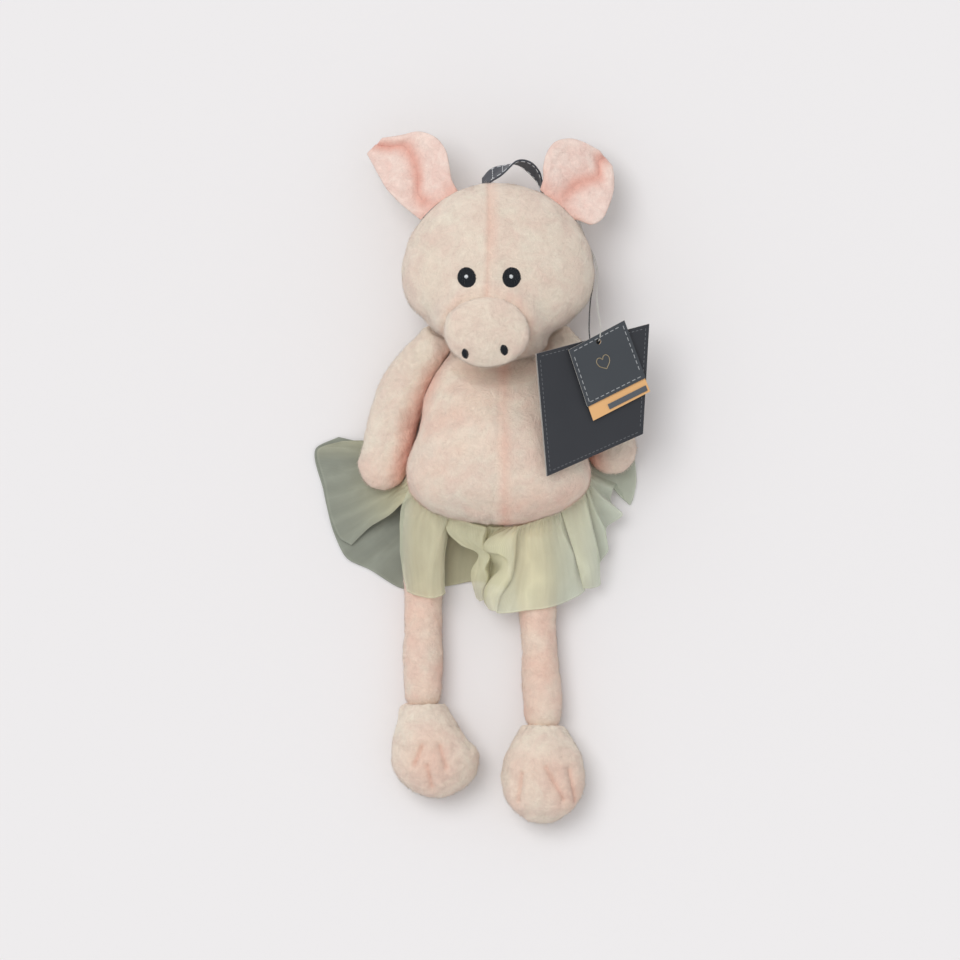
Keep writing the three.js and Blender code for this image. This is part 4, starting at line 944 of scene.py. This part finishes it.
# Ribbon loop: a woven grey ribbon folded over and sewn into the top of the head, darker inside, with white
# running stitches along its edge and two rows across where its ends are sewn together.
RIBBON = [(-9, 168, 34), (-4, 174, 35), (5, 178.5, 36), (14, 183, 36), (22, 180, 34), (28.5, 172.5, 30), (31, 163, 26)]
RIBBON_WIDTH, RIBBON_THICK = 15, 0.0009
RIBBON_STEPS = 91
ribbon_line = smooth_line(RIBBON, RIBBON_STEPS)
s = ramp((np.linspace(0, 1, RIBBON_STEPS) - 0.1) / 0.65)
ribbon_lean = np.radians(-38 + 76 * s * s * (3 - 2 * s))        # it turns over between its two ends
ribbon_out = np.column_stack((np.zeros(RIBBON_STEPS), np.sin(ribbon_lean), np.cos(ribbon_lean)))
ribbon_face = unit(np.cross(unit(np.gradient(ribbon_line, axis=0)), ribbon_out))


def on_ribbon(along, across, lift=0.0):
    """A point on the ribbon: along from 0 to 1, across and lift in mm."""
    i = np.rint(np.asarray(along) * (RIBBON_STEPS - 1)).astype(int)
    return ribbon_line[i] + ribbon_out[i] * np.asarray(across)[..., None] + ribbon_face[i] * lift


ribbon = grid("ribbon_loop_woven", 16, RIBBON_STEPS - 1, lambda a, d: on_ribbon(d, (a - 0.5) * RIBBON_WIDTH))
swell(ribbon, lambda p: 0.25 * ripple(p, 9, 80))
thicken(ribbon, RIBBON_THICK, 0)
keep_clear(ribbon, within(HEAD, HEAD_ENDS, 0.4), (5, 200, 40))
material, tree = new_material("ribbon weave", srgb(104, 109, 124), 0.6, Sheen_Weight=0.2)
rib = signal(tree, "ShaderNodeTexWave", {"Vector": signal(tree, "ShaderNodeUVMap", uv_map="UVMap"), "Scale": 28.0},
             "Fac", bands_direction="Y")
ribbon.data.materials.append(dress(material, mixed(tree, rib, srgb(46, 49, 58), srgb(74, 78, 89)), rib, 0.4, 0.0003))
STITCH_LIFT = 0.62      # from the ribbon's middle to its stitches
stitch_lines = []
for face in (-STITCH_LIFT, STITCH_LIFT):
    for edge in (-6, 6):
        for start in np.arange(0.16, 0.9, 0.075):
            stitch_lines.append([on_ribbon(t, edge, face) for t in np.linspace(start, start + 0.042, 5)])
for along in (0.18, 0.3):
    for start in np.arange(-6.2, 6, 2.5):
        stitch_lines.append([on_ribbon(along, a, -STITCH_LIFT) for a in np.linspace(start, start + 1.5, 4)])
ribbon_stitches = join("ribbon_stitches", [wire("stitch", np.array(line) / 1000, 0.00022, 1) for line in stitch_lines])
ribbon_stitches.data.materials.append(WHITE_THREAD)
tie(ribbon, "head", "ribbon_grey", "ribbon_loop")
tie(ribbon_stitches, "head", "thread_white", "ribbon_loop")

# Hang tags: a large folded card, and a small card over a kraft strip with a grey price label left blank. The
# cards are dark print on pale board, which shows at their cut edges, with a printed running-stitch border.
TILT = Matrix.Rotation(math.radians(21.8), 4, "Y")
LARGE_HOLE, SMALL_HOLE = Vector((62, 62.6, 67.6)), Vector((66.4, 65, 65.84))
BIG_CARD = [(-38.1, -5.6), (42.2, 14.1), (37.7, -58.6), (-30.4, -86.6)]
SMALL_CARD = [(-21.2, -5.6), (18.3, 14), (33.5, -24), (-7.8, -43.2)]


def card_stock(name, face, shade, edge):
    """Printed card: a slightly uneven dark face, and pale board where the surface turns away from the card's plane."""
    material, tree = new_material(name, face, 0.62, Specular_IOR_Level=0.3)
    spot = add_node(tree, "ShaderNodeTexCoord").outputs
    tone = mixed(tree, noise_at(tree, spot["Object"], 30.0, 2.0), face, shade)
    facing = calc(tree, "DOT_PRODUCT", spot["Normal"], (0.3714, 0, 0.9285), kind="Vector", out="Value")
    cut = mapped(tree, calc(tree, "ABSOLUTE", facing), 0.4, 0.8, 1.0, 0.0)
    grain = noise_at(tree, spot["Object"], 900.0, 3.0)
    return dress(material, mixed(tree, cut, tone, edge), grain, 0.15, 0.0003)


BOARD_EDGE = srgb(196, 194, 190)
for node, material in (
        ("swing_tag_large", card_stock("large tag print", srgb(50, 52, 57), srgb(58, 60, 65), BOARD_EDGE)),
        ("swing_tag_small", card_stock("small tag print", srgb(64, 68, 73), srgb(72, 76, 81), BOARD_EDGE)),
        ("swing_tag_backing", card_stock("kraft strip", srgb(228, 178, 122), srgb(236, 186, 130), srgb(232, 192, 148))),
        ("price_label", card_stock("price label", srgb(86, 90, 96), srgb(94, 98, 104), srgb(200, 200, 198)))):
    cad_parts[node].data.materials.clear()
    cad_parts[node].data.materials.append(material)


def on_card(hole, x, y, height):
    """A point of a card's own plane, in metres."""
    return (hole + TILT @ Vector((x, y, height))) / 1000


def dashes(name, hole, outline, height, inset, pitch, length, width):
    """Printed running-stitch border: thin bars inside the sides of a card."""
    corners = [np.array(p) for p in outline]
    marks = bmesh.new()
    for k, a in enumerate(corners):
        b = corners[(k + 1) % len(corners)]
        run = (b - a) / np.linalg.norm(b - a)
        inward = np.array([-run[1], run[0]])
        if inward @ (np.mean(outline, axis=0) - a) < 0:
            inward = -inward
        start, end = inset + 1, np.linalg.norm(b - a) - inset - 1
        for at in np.arange(start, end - length, pitch):
            bar = ((at, 0), (at + length, 0), (at + length, width), (at, width))
            low = [a + run * t + inward * (inset + w) for t, w in bar]
            quad = [marks.verts.new(on_card(hole, *p, height + h)) for h in (0, 0.06) for p in low]
            for face in ((3, 2, 1, 0), (4, 5, 6, 7), (0, 1, 5, 4), (1, 2, 6, 5), (2, 3, 7, 6), (3, 0, 4, 7)):
                marks.faces.new([quad[i] for i in face])
    bmesh.ops.recalc_face_normals(marks, faces=marks.faces)
    mesh = bpy.data.meshes.new(name)
    marks.to_mesh(mesh)
    return put_in(name, mesh)


PALE_INK = mottled("pale ink", srgb(150, 153, 156), srgb(176, 178, 180), 0.7, 0.0008, 0.05)
DIM_INK = mottled("dim ink", srgb(98, 101, 105), srgb(116, 118, 122), 0.7, 0.0008, 0.05)
GOLD_INK = mottled("gold ink", srgb(150, 136, 112), srgb(176, 160, 130), 0.45, 0.0008, 0.05, Metallic=0.3)
big_border = dashes("large_tag_border", LARGE_HOLE, BIG_CARD, 0.02, 2.2, 3.0, 1.7, 0.35)
small_border = dashes("small_tag_border", SMALL_HOLE, SMALL_CARD, 3.51, 2.0, 4.1, 2.5, 0.5)
HEART = [(0, -5.2), (-4.6, -0.6), (-4.9, 2.2), (-3.2, 4), (-1.2, 3.6), (0, 1.9), (1.2, 3.6), (3.2, 4), (4.9, 2.2),
         (4.6, -0.6), (0, -5.2)]
HEART_PLACE, HEART_TURN = (3.6, -13.5), 26
heart_line = []
for spot in smooth_line(np.array(HEART) * 0.95, 60):
    x, y = turned(*spot, HEART_TURN)
    heart_line.append(tuple(on_card(SMALL_HOLE, HEART_PLACE[0] + x, HEART_PLACE[1] + y, 3.52)))
heart = wire("small_tag_heart", np.array(heart_line), 0.0003, 1)
for piece, material, body in ((big_border, DIM_INK, "tag_large"), (small_border, PALE_INK, "tag_small"),
                              (heart, GOLD_INK, "tag_small")):
    piece.data.materials.append(material)
    tie(piece, body, "card_dark")

# Table: a plain pale surface just under the toy's back.
bpy.ops.mesh.primitive_plane_add(size=6, location=(0, 0, -0.0002))
table = bpy.context.object
table.name = "table"
table.data.materials.append(new_material("pale table", srgb(238, 236, 237), 0.9, Specular_IOR_Level=0.1)[0])

# Light: a broad soft lamp high at the upper left and an even pale surround.
bpy.ops.object.light_add(type="SUN", location=(-0.5, 0.65, 1.5))
lamp = bpy.context.object
lamp.name = "window"
lamp.data.angle = math.radians(35)
lamp.data.energy = 1.166
lamp.rotation_euler = Vector((0.32, -0.3, -1)).to_track_quat("-Z", "Y").to_euler()
world = bpy.data.worlds.new("surround")
bpy.context.scene.world = world
world.use_nodes = True
world.node_tree.nodes["Background"].inputs["Color"].default_value = (1, 1, 1, 1)
world.node_tree.nodes["Background"].inputs["Strength"].default_value = 0.66
bpy.context.scene.view_settings.view_transform = "Standard"
